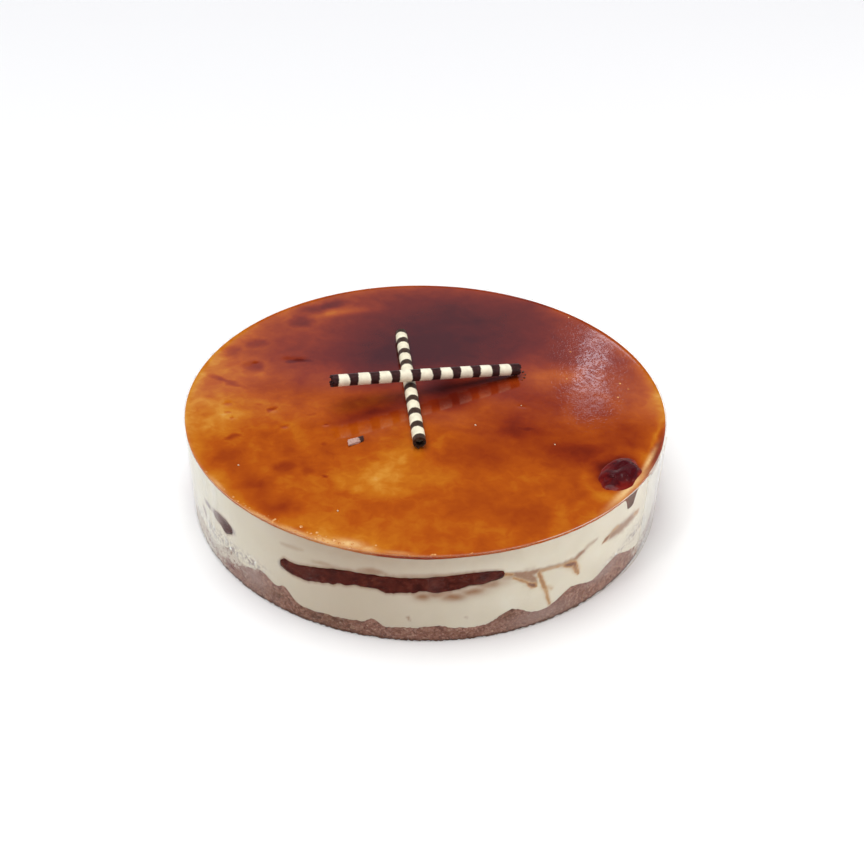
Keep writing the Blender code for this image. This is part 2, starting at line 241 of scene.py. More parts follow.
def grey_ramp(finish, factor, start, end):
    """0 up to start and 1 from end."""
    node = add(finish, "MapRange", {"clamp": True}, Value=factor, FromMin=start, FromMax=end)
    return node.outputs["Result"]


def blend(finish, factor, first, second, way="MIX"):
    node = add(finish, "Mix", {"data_type": "RGBA", "blend_type": way}, Factor=factor, A=first, B=second)
    return node.outputs[2]


def layered(finish, colour, *coats):
    """Lays coats over a colour, each a (how much, colour)."""
    for amount, coat in coats:
        colour = blend(finish, amount, colour, coat)
    return colour


def sums(finish, operation, first, second=0.0):
    """One sum on two numbers or outputs."""
    node = finish.node_tree.nodes.new("ShaderNodeMath")
    node.operation = operation
    for socket, value in zip(node.inputs, (first, second)):
        if isinstance(value, bpy.types.NodeSocket):
            finish.node_tree.links.new(value, socket)
        else:
            socket.default_value = value
    return node.outputs[0]


def times(finish, first, second):
    return sums(finish, "MULTIPLY", first, second)


def plus(finish, first, second):
    return sums(finish, "ADD", first, second)


def raise_by(finish, shader, height, distance, strength=1.0):
    """Fine relief under the shader; distance is the height of a full step, in metres."""
    bump = add(finish, "Bump", Height=height, Distance=distance, Strength=strength)
    finish.node_tree.links.new(bump.outputs["Normal"], shader.inputs["Normal"])


def colour_with(finish, shader, colour):
    finish.node_tree.links.new(colour, shader.inputs["Base Color"])


def crumb_finish():
    finish, shader = new_finish("biscuit_crumb", 0.62, 0.4)
    cells = add(finish, "TexVoronoi", Vector=place_on(finish), Scale=1 / 0.0012)
    pick = add(finish, "SeparateColor", Color=cells.outputs["Color"]).outputs[0]
    crumbs = ramp(
        finish, pick,
        (0.0, (0.2, 0.085, 0.058)), (0.3, (0.33, 0.155, 0.108)), (0.62, (0.43, 0.22, 0.158)),
        (0.9, (0.49, 0.275, 0.2)), (1.0, (0.58, 0.38, 0.27)),
    )  # fmt: skip
    # Painted shade: the gaps between crumbs are darkened as well as sunk by the relief below.
    pits = ramp(finish, cells.outputs["Distance"], (0.25, (1, 1, 1)), (0.85, (0.68, 0.58, 0.53)))
    broken = blend(finish, 1.0, crumbs, pits, "MULTIPLY")
    damp = grey_ramp(finish, cloud(finish, 0.008, 3.0), 0.42, 0.62)
    broken = blend(finish, times(finish, damp, 0.5), broken, (0.23, 0.092, 0.055))
    broken = blend(finish, times(finish, amount_of(finish, "veil"), 0.65), broken, (0.38, 0.27, 0.235))
    # The soaked darkening is syrup, and at the front left it is painted shade.
    soaked = times(finish, amount_of(finish, "soaked"), 0.8)
    broken = blend(finish, soaked, broken, (0.6, 0.53, 0.42), "MULTIPLY")
    # Painted shadow: the crumbs darken to near black in the last millimetres above the table, where the cake
    # stands on it.
    foot = grey_ramp(finish, add(finish, "SeparateXYZ", Vector=place_on(finish)).outputs["Z"], 0.0016, 0.0003)
    broken = blend(finish, foot, broken, (0.1, 0.038, 0.02))
    smear = plus(finish, amount_of(finish, "smear"), times(finish, cloud(finish, 0.0017, 4.0), 1.5))
    smeared = grey_ramp(finish, smear, 0.98, 1.34)
    creamy = blend(finish, times(finish, smeared, 0.85), broken, (0.68, 0.61, 0.5))
    colour_with(finish, shader, blend(finish, amount_of(finish, "red_crumb"), creamy, (0.16, 0.03, 0.018)))
    fine = plus(finish, times(finish, cloud(finish, 0.0006, 2.0), 0.5), cells.outputs["Distance"])
    raise_by(finish, shader, times(finish, fine, -1.0), 0.0005, 0.8)
    return finish


def smear_at(place):
    streaks = 0.75 + 0.5 * noise.noise(Vector((turn_of(place) / SMEAR_WIDTH, place.z / SMEAR_HEIGHT, 0)))
    return streaks * strongest(SMEARED_CREAM)(place)


base_mesh = turned_mesh("biscuit_base_crumbs", base_section, WALL_STEPS)
paint(base_mesh, "smear", smear_at)
paint(base_mesh, "veil", strongest(VEILED_CRUMB))
paint(base_mesh, "soaked", strongest(DAMP_AND_SHADED_CRUMB))
paint(base_mesh, "red_crumb", strongest(RED_CRUMB))
crumb_base = new_piece("biscuit_base_crumbs", base_mesh, crumb_finish())
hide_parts("biscuit_base")
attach(crumb_base, "root")

# ---------------------------------------------------------------------------- The cocoa sponge
# One thin disc of cocoa sponge, soaked with syrup and laid in the half-poured cream. It slid and
# bent as the cream set, so its broken edge meets the collar only in places.

SPONGE_MIDDLE = 0.0334
SPONGE_LEAN, SPONGE_LEAN_REACH = 0.0039, 0.05  # it lies lower at the left
SPONGE_BENDS = (  # turn, rise of its edge, half-width in degrees
    (-14, 1.8, 7), (-28, -2, 5), (-50.5, -0.9, 4),
)  # fmt: skip
SPONGE_HALF, SPONGE_TIP_HALF = 0.0042, 0.0007
SPONGE_NOSE = 0.004  # how far in its broken edge starts
SPONGE_SHRINK, SPONGE_SHRINK_TURN = 0.0026, 5.0  # how far it draws back, within how many degrees
SPONGE_STEP = 0.0008  # how far its edge breaks off behind the cream where a stretch ends
SPONGE_CRUMB, SPONGE_CRUMB_GRAIN = 0.0012, 0.005  # how uneven its edge is
SPONGE_RAGGED, SPONGE_TEAR, SPONGE_NICK = 0.0009, 0.0026, 0.001  # the fine tearing of its edge
SPONGE_PORE, SPONGE_PORE_GRAIN = 0.00035, 0.0011
SPONGE_BLUNT = 0.6  # how bluntly a stretch ends; 1 would be a straight point
SPONGE_EDGE_ROWS = 16
SPONGE_ARCS = (  # first turn, last turn, taper at the first, taper at the last
    (-31.8, 17, 3, 14), (-54.6, -46.9, 8, 6), (103, 131, 8, 5), (176, 214, 12, 6), (242, 256, 5, 7),
)  # fmt: skip
SPONGE_BITES = (  # turn, rise of its lower edge, half-width in degrees
    (-13.5, 1.2, 3), (-17.3, 0.6, 0.8), (-6.4, -1, 2), (-9.6, 0.6, 0.7), (-0.8, 0.9, 1.1),
    (5, -0.4, 1.5), (9.5, 0.6, 2.2), (-52.4, 2.2, 0.8), (-49, -1.6, 1.2), (-26.5, -0.1, 2.2),
    (-30, 1.4, 2.5), (-31.3, 2.6, 0.9),
)  # fmt: skip
SLOT_OVERSHOOT = 0.0007  # how far its pocket runs out past the cream
CREAM_AND_HIGHLIGHT_ON_SPONGE = (  # where cream smudged it, and at -48.4 a painted highlight: turn, height, half-width in degrees, half-height
    (-54, 31, 2.6, 6), (-48.4, 33.2, 1.4, 1.2), (-51, 33.5, 2.5, 1.4), (180, 33, 6, 4),
)  # fmt: skip


def sponge_contact(turn):
    """(nearness to the film from 0 to 1, share of the lower and of the upper half-thickness)."""
    near, lower, upper = 0.0, 0.0, 0.0
    for first, last, first_taper, last_taper in SPONGE_ARCS:
        middle, span = (first + last) / 2, (last - first) / 2
        inside = span - abs(wrapped(turn - middle))
        taper = first_taper if wrapped(turn - middle) < 0 else last_taper
        near = max(near, ease(1 + inside / SPONGE_SHRINK_TURN))
        if inside > 0:
            lower = min(1.0, inside / taper) ** SPONGE_BLUNT
            upper = min(1.0, 2.5 * inside / taper) ** SPONGE_BLUNT
    return near, lower, upper


def sponge_middle(turn, radius):
    lean = SPONGE_LEAN * math.sin(around(turn, radius).x / SPONGE_LEAN_REACH)
    return SPONGE_MIDDLE + lean + rises(turn, SPONGE_BENDS) * (radius / CAKE_RADIUS) ** 8


def sponge_edges(turn):
    """Where its broken edge is, how far that reaches below and above its middle, and if it touches."""
    near, lower, upper = sponge_contact(turn)
    crumb = SPONGE_CRUMB * rough(turn, CAKE_RADIUS, 0, SPONGE_CRUMB_GRAIN)
    torn = rough(turn, CAKE_RADIUS, 0.3, SPONGE_TEAR) + 0.4 * rough(turn, CAKE_RADIUS, 0.5, SPONGE_NICK)
    torn *= SPONGE_RAGGED
    bitten = SPONGE_HALF - SPONGE_TIP_HALF + crumb + torn - rises(turn, SPONGE_BITES)
    below = SPONGE_TIP_HALF + bitten * lower
    worn = 0.5 * torn + 0.5 * SPONGE_CRUMB * rough(turn, CAKE_RADIUS, 0.9, 0.006)
    above = SPONGE_TIP_HALF + (SPONGE_HALF - SPONGE_TIP_HALF + worn) * upper
    rim = CAKE_RADIUS - SPONGE_SHRINK * (1 - near) - (0.0 if lower > 0 else SPONGE_STEP)
    return rim, max(below, SPONGE_TIP_HALF), above, lower > 0


def sponge_section(turn):
    rim, below, above, _ = sponge_edges(turn)
    flat = rim - SPONGE_NOSE
    middle = sponge_middle(turn, rim)
    edge = []
    for row in range(SPONGE_EDGE_ROWS + 1):
        height = middle - below + (below + above) * row / SPONGE_EDGE_ROWS
        pore = SPONGE_PORE * max(0.0, rough(turn, CAKE_RADIUS, height, SPONGE_PORE_GRAIN))
        edge.append((rim - pore, height))
    return [
        (0.0, SPONGE_MIDDLE - SPONGE_HALF),
        (flat, sponge_middle(turn, flat) - SPONGE_HALF),
        *edge,
        (flat, sponge_middle(turn, flat) + SPONGE_HALF),
        (0.0, SPONGE_MIDDLE + SPONGE_HALF),
    ]


def pocket_section(turn):
    """The room that the sponge takes in the cream, which runs past the cream's wall at the film."""
    rim, below, above, touches = sponge_edges(turn)
    flat = rim - SPONGE_NOSE
    reach = rim + FIT + (SLOT_OVERSHOOT if touches else 0.0)
    middle = sponge_middle(turn, rim)
    half = SPONGE_HALF + FIT
    return [
        (0.0, SPONGE_MIDDLE - half),
        (flat, sponge_middle(turn, flat) - half),
        (reach, middle - below - FIT / 10),
        (reach, middle + above + FIT / 10),
        (flat, sponge_middle(turn, flat) + half),
        (0.0, SPONGE_MIDDLE + half),
    ]


def sponge_finish():
    finish, shader = new_finish("cocoa_sponge", 0.6, 0.04)
    soaked = ramp(
        finish, cloud(finish, 0.0032, 4.0),
        (0.3, (0.045, 0.007, 0.0045)), (0.52, (0.09, 0.015, 0.009)), (0.75, (0.145, 0.034, 0.02)),
    )  # fmt: skip
    pores = add(finish, "TexVoronoi", Vector=place_on(finish), Scale=1 / 0.0009).outputs["Distance"]
    # Painted shade: the pores are darkened as well as sunk by the relief below.
    holes = ramp(finish, pores, (0.05, (0.5, 0.45, 0.45)), (0.35, (1, 1, 1)))
    dark = blend(finish, 1.0, soaked, holes, "MULTIPLY")
    # The pale blend is cream smudged on the sponge, and one spot of it is a painted highlight.
    colour_with(finish, shader, blend(finish, amount_of(finish, "creamed_and_highlight"), dark, (0.42, 0.34, 0.31)))
    raise_by(finish, shader, pores, 0.0003, 0.7)
    return finish


def cream_and_highlight_at(place):
    uneven = 0.75 + 0.4 * noise.noise(place / 0.003)
    return uneven * strongest(CREAM_AND_HIGHLIGHT_ON_SPONGE)(place)


sponge_mesh = turned_mesh("cocoa_sponge_disc", sponge_section, WALL_STEPS)
paint(sponge_mesh, "creamed_and_highlight", cream_and_highlight_at)
sponge = new_piece("cocoa_sponge_disc", sponge_mesh, sponge_finish())
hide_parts("cocoa_sponge")
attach(sponge, "root")

# ----------------------------------------------------------------------------- The cream filling
# Cream cheese whipped with cream and set cold against the ring. Syrup from the sponge bled into it
# and ran down inside the film, which left thin tan and orange-brown trails at the right.

REBATE = 0.0014  # how thick the skirt of glaze is that runs down inside the film
CREAM_EDGE_TOP, CREAM_TOP = 0.0491, 0.048
CREAM_DISH_SHARE = 0.93  # of the radius, inside which the cream's top is flat
CREAM_DIMPLE, CREAM_DIMPLE_GRAIN = 0.00025, 0.012  # how uneven its side is
CREAM_WALL_ROWS = 54
SKIRT_FOOT, SKIRT_SHELF = 0.049, 0.0002
SKIRT_RAGGED, SKIRT_GRAIN = 0.00018, 0.0035
SKIRT_RUNS = (  # turn, run, half-width in degrees
    (-4, 0.6, 9), (52, 7.8, 1.8), (66, 3.4, 4.5), (97, 3, 3), (148, 5.2, 2.8), (171, 1.8, 5),
    (222, 4, 3.2), (263, 2.4, 4),
)  # fmt: skip
# Trails and stains on the cream's side: strength, then (turn, height, half-width) along each one.
TAN_TRAILS = (
    (0.95, ((15.5, 36.8, 0.7), (18.5, 35, 1.1), (21.5, 33.5, 1.4), (24.8, 32.7, 1.3))),
    (0.8, ((24.8, 32.7, 1.1), (28.5, 32.3, 1.1), (31.6, 31.2, 1.5))),
    (1, ((20.2, 33.2, 1.2), (22.4, 31.2, 3.2), (23.6, 28.8, 2.6), (24.4, 25.6, 1.2))),
    (0.8, ((31.6, 31.2, 1.3), (34.5, 31.4, 1.6), (36.6, 33.6, 1.3))),
    (0.45, ((36.6, 33.6, 1.3), (37.8, 35.6, 1.5), (40.3, 36.6, 1))),
    (0.95, ((43.4, 32.5, 0.7), (45.4, 33.8, 1.6), (47.2, 35, 1.4), (49.2, 34.6, 1.1))),
    (0.85, ((45.6, 32.5, 2), (49, 32.8, 3), (52.5, 33, 2.8), (56.5, 32.6, 1.5))),
    (0.26, ((-31, 40.8, 1.4), (-28.5, 41.4, 1.8), (-26, 41.8, 1.2))),
    (0.26, ((-23.5, 36.6, 1), (-21, 37.8, 1.6), (-17.5, 37.6, 1.2))),
    (0.5, ((-13.5, 38.4, 1), (-10.5, 39.4, 1.9), (-7.5, 38.6, 1))),
    (0.22, ((-4, 38.6, 1.2), (3, 39, 1.4), (12, 39.2, 1.4))),
    (0.6, ((-2.9, 14.2, 0.8), (-2.6, 12.4, 0.5))), (0.4, ((9.3, 13.6, 0.7), (9.5, 12.8, 0.5))),
    (0.4, ((-61.5, 24, 1.8), (-60.5, 20.5, 1.8))),
    (0.45, ((112, 25, 1), (118, 23, 1.8), (124, 24.5, 1))),
    (0.4, ((205, 27, 1), (209, 22.5, 1.6), (211, 19, 0.8))),
)  # fmt: skip
SYRUP_TRAILS = (  # ochre where it is faint, orange-brown where it ran, dark where cocoa came with it
    (0.52, ((19.2, 32.5, 0.7), (21.6, 29.2, 1), (24, 25.2, 1.3))),
    (0.78, ((22.9, 26.6, 0.9), (24.2, 24.6, 1.6), (24.7, 24, 0.9))),
    (0.62, ((25.1, 31.4, 0.9), (25.9, 26.8, 1.2), (26.8, 22.2, 1.3))),
    (0.48, ((26.8, 22.2, 1.3), (27.8, 16, 1.2), (28.6, 10, 1))),
    (0.3, ((26.4, 22.6, 1.2), (27.8, 20.8, 1.6), (28.9, 19.2, 1))),
    (0.36, ((25.4, 32.1, 1.2), (28.6, 31.6, 1), (31.4, 30.8, 1.2))),
    (0.8, ((31.9, 30.2, 1), (33.2, 29.3, 2.2), (34.6, 28.4, 1.6))),
    (0.62, ((34.2, 28.4, 2), (34.9, 25.4, 2), (35.9, 21.2, 1))),
    (0.85, ((42.8, 31.6, 0.6), (43.8, 32.6, 1.2), (44.8, 33.4, 0.7))),
    (0.4, ((45.4, 35, 0.7), (48, 35.8, 1.2))),
    (0.75, ((15.2, 36.9, 0.6), (17.3, 35.7, 0.9), (19, 34.6, 0.6))),
    (0.58, ((54.9, 33.6, 1), (56.8, 32.2, 1.6))),
    (0.5, ((119, 30, 0.9), (120.5, 25, 0.9), (121, 19, 0.6))),
    (0.36, ((186, 27, 1.4), (190, 26.2, 1.2))),
)  # fmt: skip
SEEPED_SYRUP = (  # soft stains by the sponge, and one wide tan band just under the glaze across the front: turn, height, half-width in degrees, half-height, amount
    (0.2, 26.6, 2, 2.4, 0.95), (6.6, 26.2, 3.2, 2.6, 1), (3.4, 27.6, 4, 2.2, 0.75),
    (10.6, 28.4, 3.6, 3, 0.85), (14.2, 31.2, 3.8, 2.8, 0.8), (18, 33.2, 2.8, 2, 0.6),
    (-10.6, 39.4, 2.2, 2, 0.55), (-21, 37.4, 3, 1.4, 0.3), (-28.6, 41.2, 2.6, 1.4, 0.2),
    (2, 39, 9, 1.3, 0.35), (-5, 48.5, 32, 6, 0.3), (118, 26.8, 5, 2.4, 0.65), (196, 26.6, 6, 2.4, 0.6),
)  # fmt: skip
FLECKED_CREAM = (  # where crumbs were dragged into it, with painted glints of the wrinkled cream among them: turn, height, half-width in degrees, half-height
    (-57, 16.8, 6, 4.5), (-49, 18.2, 6, 3.6), (-41.5, 19.2, 4.5, 3), (-67, 14, 6, 6), (57, 19.5, 5, 4.5),
    (49, 17, 4, 2), (128, 16, 7, 3), (231, 15, 8, 3.6),
)  # fmt: skip
TRAIL_UNEVEN, TRAIL_GRAIN = 0.45, 0.0022
TRAIL_REACH = 0.05  # past this a place is too far from a trail to be tinted
SPONGE_STAIN, SPONGE_STAIN_REACH = 0.6, 0.0014  # how far the sponge's edge tints the cream beside it
SHADED_FRONT = (-16.0, 25.0, 0.88)  # turn, half-width in degrees and amount of the painted shade that makes the front cream duller and tanner
THIN_CREAM = (  # over what lies behind it: turn, height, half-width in degrees, half-height
    (-53.5, 30, 3, 2.4), (-48, 29.6, 2.2, 2.6), (-58, 30, 2.2, 1.8), (-31, 28.5, 1.3, 3),
    (-61, 22.5, 1.2, 2.2), (92, 34, 6, 2.5), (150, 32, 8, 2.2), (228, 33, 6, 3), (268, 30, 4, 3),
)  # fmt: skip


def skirt_foot(turn):
    ragged = SKIRT_RAGGED * rough(turn, CAKE_RADIUS, 0.7, SKIRT_GRAIN)
    runs = sum(run * ease(1.4 * hump(turn, centre, half_width)) for centre, run, half_width in SKIRT_RUNS)
    return SKIRT_FOOT + ragged - MM * runs


def cream_section(turn):
    underside = [(share * CAKE_RADIUS, base_top(turn, share) + FIT / 3) for share in reversed(BASE_SHARES)]
    foot = underside[-1][1]
    shelf = skirt_foot(turn) - FIT / 3
    wall = []
    for row in range(1, CREAM_WALL_ROWS + 1):
        height = foot + (shelf - foot) * row / CREAM_WALL_ROWS
        dimple = CREAM_DIMPLE * (1 + rough(turn, CAKE_RADIUS, height, CREAM_DIMPLE_GRAIN))
        wall.append((CAKE_RADIUS - dimple * (1 - (row / CREAM_WALL_ROWS) ** 8), height))
    rebate = CAKE_RADIUS - REBATE
    return [
        (0.0, base_top(0, 0) + FIT / 3),
        *underside,
        *wall,
        (rebate, shelf + SKIRT_SHELF),
        (rebate, CREAM_EDGE_TOP),
        (CREAM_DISH_SHARE * CAKE_RADIUS, CREAM_TOP),
        (0.0, CREAM_TOP),
    ]


def trail_at(trails):
    """An amount that is 1 along the middle of the strongest trail, for places on the cake's side."""
    runs = []
    for strength, points in trails:
        flat = [Vector((math.radians(turn) * CAKE_RADIUS, MM * height)) for turn, height, _ in points]
        runs.append((strength, flat, [MM * half_width for *_, half_width in points]))

    def amount(place):
        if place.xy.length < CAKE_RADIUS - 3 * REBATE:
            return 0.0
        turn = turn_of(place)
        uneven = 1 + TRAIL_UNEVEN * noise.noise(place / TRAIL_GRAIN)
        best = 0.0
        for strength, flat, widths in runs:
            first = math.degrees(flat[0].x / CAKE_RADIUS)
            spot = Vector((math.radians(first + wrapped(turn - first)) * CAKE_RADIUS, place.z))
            if abs(spot.x - flat[0].x) > TRAIL_REACH:
                continue
            for start, end, near, far in zip(flat, flat[1:], widths, widths[1:]):
                along = min(1.0, max(0.0, (end - start).dot(spot - start) / (end - start).length_squared))
                off = (spot - start - (end - start) * along).length / (near + (far - near) * along)
                best = max(best, strength * math.exp(-((off / uneven) ** 2)))
        return best

    return amount


def sponge_stain_at(place):
    """How far the wet edge of the sponge tints the cream, on the cake's side."""
    _, below, above, touches = sponge_edges(turn_of(place))
    if not touches or place.xy.length < CAKE_RADIUS - REBATE:
        return 0.0
    height = place.z - sponge_middle(turn_of(place), CAKE_RADIUS)
    return SPONGE_STAIN * math.exp(-((max(-below - height, height - above) / SPONGE_STAIN_REACH) ** 2))


def seeped_at(place):
    return (1 + 0.25 * noise.noise(place / 0.003)) * strongest(SEEPED_SYRUP)(place)


def cut_from(piece, cutter_mesh):
    """Takes a closed shape out of a piece."""
    cutter = new_piece("cutter", cutter_mesh)
    cut = piece.modifiers.new("cut", "BOOLEAN")
    cut.operation = "DIFFERENCE"
    cut.solver = "MANIFOLD"
    cut.object = cutter
    whole = bpy.data.meshes.new_from_object(piece.evaluated_get(bpy.context.evaluated_depsgraph_get()))
    piece.modifiers.clear()
    piece.data = whole
    bpy.data.objects.remove(cutter, do_unlink=True)
    whole.shade_smooth()
    whole.set_sharp_from_angle(angle=math.radians(50))


def mottled(finish, name, grain, detail=3.0, level=0.5):
    """A painted amount, broken up by noise of that grain."""
    return times(finish, amount_of(finish, name), plus(finish, cloud(finish, grain, detail), level))


def cream_finish():
    finish, shader = new_finish("set_cream", 0.36, 0.5)
    shader.inputs["Subsurface Weight"].default_value = 0.35
    shader.inputs["Subsurface Radius"].default_value = (1.0, 0.75, 0.5)
    shader.inputs["Subsurface Scale"].default_value = 0.001
    colour = ramp(
        finish, cloud(finish, 0.016, 3.0),
        (0.3, (0.7, 0.635, 0.495)), (0.55, (0.75, 0.69, 0.55)), (0.75, (0.78, 0.735, 0.61)),
    )  # fmt: skip
    thin = grey_ramp(finish, mottled(finish, "thin", 0.0022, 4.0, 0.25), 0.12, 0.62)
    flecked = amount_of(finish, "flecked")
    dark_flecks = times(finish, flecked, grey_ramp(finish, cloud(finish, 0.0017, 4.0), 0.45, 0.58))
    # The pale flecks are painted glints.
    painted_glint_flecks = times(finish, flecked, grey_ramp(finish, cloud(finish, 0.0022, 3.0), 0.58, 0.68))
    tan = grey_ramp(finish, mottled(finish, "tan", 0.0016), 0.03, 0.72)
    syrup = mottled(finish, "syrup", 0.0013)
    strong = ramp(
        finish, syrup,
        (0.12, (0.6, 0.45, 0.28)), (0.42, (0.5, 0.27, 0.1)), (0.7, (0.27, 0.1, 0.038)),
        (0.95, (0.12, 0.036, 0.014)),
    )  # fmt: skip
    colour = layered(
        finish, colour,
        (amount_of(finish, "shaded"), (0.53, 0.43, 0.31)), (thin, (0.24, 0.165, 0.165)),
        (dark_flecks, (0.3, 0.225, 0.205)), (painted_glint_flecks, (0.88, 0.88, 0.84)),
        (amount_of(finish, "seeped"), (0.29, 0.118, 0.034)), (tan, (0.33, 0.175, 0.095)),
        (grey_ramp(finish, syrup, 0.01, 0.42), strong),
    )  # fmt: skip
    colour_with(finish, shader, colour)
    rucked = times(finish, flecked, cloud(finish, 0.0018, 4.0))
    raise_by(finish, shader, plus(finish, cloud(finish, 0.003, 4.0), rucked), 0.0002, 0.5)
    return finish


cream = new_piece("cheese_filling_cream", turned_mesh("cheese_filling_cream", cream_section, WALL_STEPS))
cut_from(cream, turned_mesh("sponge_pocket", pocket_section, WALL_STEPS))
cream.data.materials.clear()
cream.data.materials.append(cream_finish())
paint(cream.data, "thin", strongest(THIN_CREAM))
tan_trail_at = trail_at(TAN_TRAILS)
paint(cream.data, "tan", lambda place: max(tan_trail_at(place), sponge_stain_at(place)))
paint(cream.data, "syrup", trail_at(SYRUP_TRAILS))
# Painted shade on the front of the cream.
paint(cream.data, "shaded", lambda place: SHADED_FRONT[2] * hump(turn_of(place), *SHADED_FRONT[:2]))
paint(cream.data, "flecked", strongest(FLECKED_CREAM))
paint(cream.data, "seeped", seeped_at)
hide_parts("cheese_filling")
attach(cream, "root")

# ----------------------------------------------------------------------------- The caramel glaze
# Clear caramel poured warm over the cold cream. It lies thin and golden where the cream stands
# high and deep red-brown where it pooled, it climbs the film a little, and some ran down inside.

GLAZE_HEIGHT = 0.05
GLAZE_STEPS = 540
GLAZE_RINGS = 126
RIM_RISE = 0.0002  # how far it climbs the film
RIM_CURVE = 0.0011  # how far from the film it starts to climb
GLAZE_WAVE, GLAZE_WAVE_LENGTH = 0.0002, 0.03
GLAZE_DENTS = (  # x, y, radius, depth, which is negative where the glaze swells
    (-70.7, 75.2, 6, 0.12), (-60, 90, 9, 0.14), (-92.7, 50.9, 5.8, 0.1), (-105, 41.2, 5.5, 0.1),
    (-91.7, 25.8, 6, 0.12), (-28, -20, 14, 0.2), (14, -6, 15, 0.17), (-67, 31.5, 4.5, 0.14),
    (-74, 33, 4, 0.12), (16, 24, 13, -0.2), (34.5, 29, 13, -0.18),
)  # fmt: skip
BURST_BUBBLES = (  # x, y, radius, depth of the pits that air left
    (-75.5, -13, 1.4, 0.08), (-67.9, -26.8, 1.2, 0.08), (-98.5, -7.8, 1.2, 0.08), (-97.2, -15, 1, 0.08),
    (-94.6, -20.2, 1, 0.08), (-48.3, -24.8, 1.1, 0.08), (-89.8, 29.8, 1, 0.15), (48, -6, 0.9, 0.12),
)  # fmt: skip
RIPPLED = (86, 34, 24, 46)  # where the skin wrinkled as it set: x, y, half-sizes
RIPPLE, RIPPLE_LENGTH = 0.000012, 0.005
DEPTH_LEVEL = 0.4  # how deep the caramel looks where nothing changes that
DEPTH_AND_SHADOW_PATCHES = (  # its broad pools, and at (16, 4) and (4, 11) a painted shadow of the rolls: x, y, half-sizes, change of depth, and how far it is turned, in degrees
    (-12, 78, 60, 52, 0.42), (55, 85, 55, 45, 0.34), (-30, 34, 50, 28, 0.32), (50, 35, 60, 30, 0.22),
    (62, -2, 40, 26, 0.18), (45, -26, 14, 12, 0.22), (71, -42, 17, 11, 0.22), (36, -31, 16, 12, 0.12),
    (90, -40, 16, 15, 0.18), (105, -28, 11, 14, 0.16), (-26, -14, 24, 7, 0.34, 22),
    (16, 4, 20, 9, 0.27, 20), (4, 11, 12, 6, 0.2, 15), (0, -10, 10, 8, 0.14),
    (-64, -88.5, 10, 6, 0.24, -10), (-75.7, -73, 9, 7, 0.16, -40), (-90.5, -54.5, 12, 8, 0.2),
    (-81, -55, 5, 7, -0.1), (-62, -50, 16, 14, 0.12), (25, -82, 22, 12, 0.12), (44, -92, 12, 10, 0.18),
    (62, -72, 12, 11, 0.1), (-95, -5, 18, 34, -0.12), (-100, -25, 12, 16, -0.12),
    (64, 23, 13, 11, -0.25), (24, -49, 18, 10, 0.2), (-22, -63, 19, 12, -0.09, 46),
    (-16, -64, 16, 12, -0.08, 10), (6, -63, 12, 10, -0.06), (58, -90, 7, 8, -0.08),
    (102, -42, 6, 10, -0.12, -20), (-45, -103, 26, 6, -0.14, -24), (-50, 86, 14, 5, -0.3, 20),
    (104, 30, 12, 22, 0.12, 10), (78, 96, 12, 10, -0.14, -40), (-84, 50, 18, 24, 0.14),
    (-82, 8, 12, 10, 0.12), (-64, 92, 14, 10, 0.12, 30), (84, -10, 10, 10, 0.12),
    (-108, 32, 8, 12, -0.13), (-104, 10, 10, 8, 0.13), (72, -52, 17, 10, 0.13),
    (-42, -70, 14, 8, -0.06, 30), (-100, 0, 8, 20, -0.08),
)  # fmt: skip
DEPTH_SPOTS = (  # craters and flecks with sharper edges, in the same order
    (89.5, -60, 13.5, 10, 0.4, 56), (110.7, -42.5, 25, 2.6, 0.4, 69), (-52.9, 96, 8, 4.4, 0.15, 20),
    (-66, 88, 10, 6.6, 0.13, 35), (-70.5, 74.4, 6.4, 6, 0.18), (-93, 50.8, 5.4, 4.6, 0.15),
    (-104.4, 41.8, 5, 6.2, 0.17), (-90.7, 25.8, 4.8, 5.6, 0.18), (-67.5, 32.2, 7.2, 1.5, 0.18, 3),
    (-102, 12.2, 11, 1.8, 0.22, -26), (-91.4, -36.5, 3.6, 2.1, 0.24, 30),
    (-76.4, -12.4, 1.4, 3, 0.24, -12), (-47, -40.5, 1.6, 1.4, 0.14), (-45, -65.9, 0.9, 1.4, 0.26),
    (-67.9, -26.8, 1.8, 1.3, 0.16), (-48.3, -24.8, 1.1, 0.9, 0.22), (-98.5, -7.8, 2.2, 1.8, 0.14),
    (-97.2, -15, 1.4, 1.2, 0.18), (-94.6, -20.2, 1.2, 1, 0.18), (-83.5, -7.2, 1.4, 1.4, 0.1),
    (49.5, -25, 3, 1.2, 0.1), (-65.5, -60, 5, 4.6, 0.14), (-53.5, -62.6, 2.6, 3, 0.12),
    (-56, -16, 1.6, 1.2, 0.1), (-20, -64, 2.4, 7, -0.07, -40), (-30, -74, 4.6, 2.6, -0.09, 40),
    (-11, -53, 2.2, 5, -0.06, -30), (-80, -44, 2.6, 6, -0.08, 20), (-111, -8, 5, 3.6, -0.1, 10),
    (-106, -26, 4, 5, -0.08, 10), (8, -41, 3, 8, -0.06), (-64, -69, 7, 2.6, -0.08, 15),
)  # fmt: skip
GOLDEN_RIMS = (  # turn, half-width in degrees, change of depth next to the film
    (95, 30, -0.26), (-95, 40, -0.22), (-38, 16, -0.1), (185, 40, -0.08),
)  # fmt: skip
GOLDEN_RIM_WIDTH = 0.0055
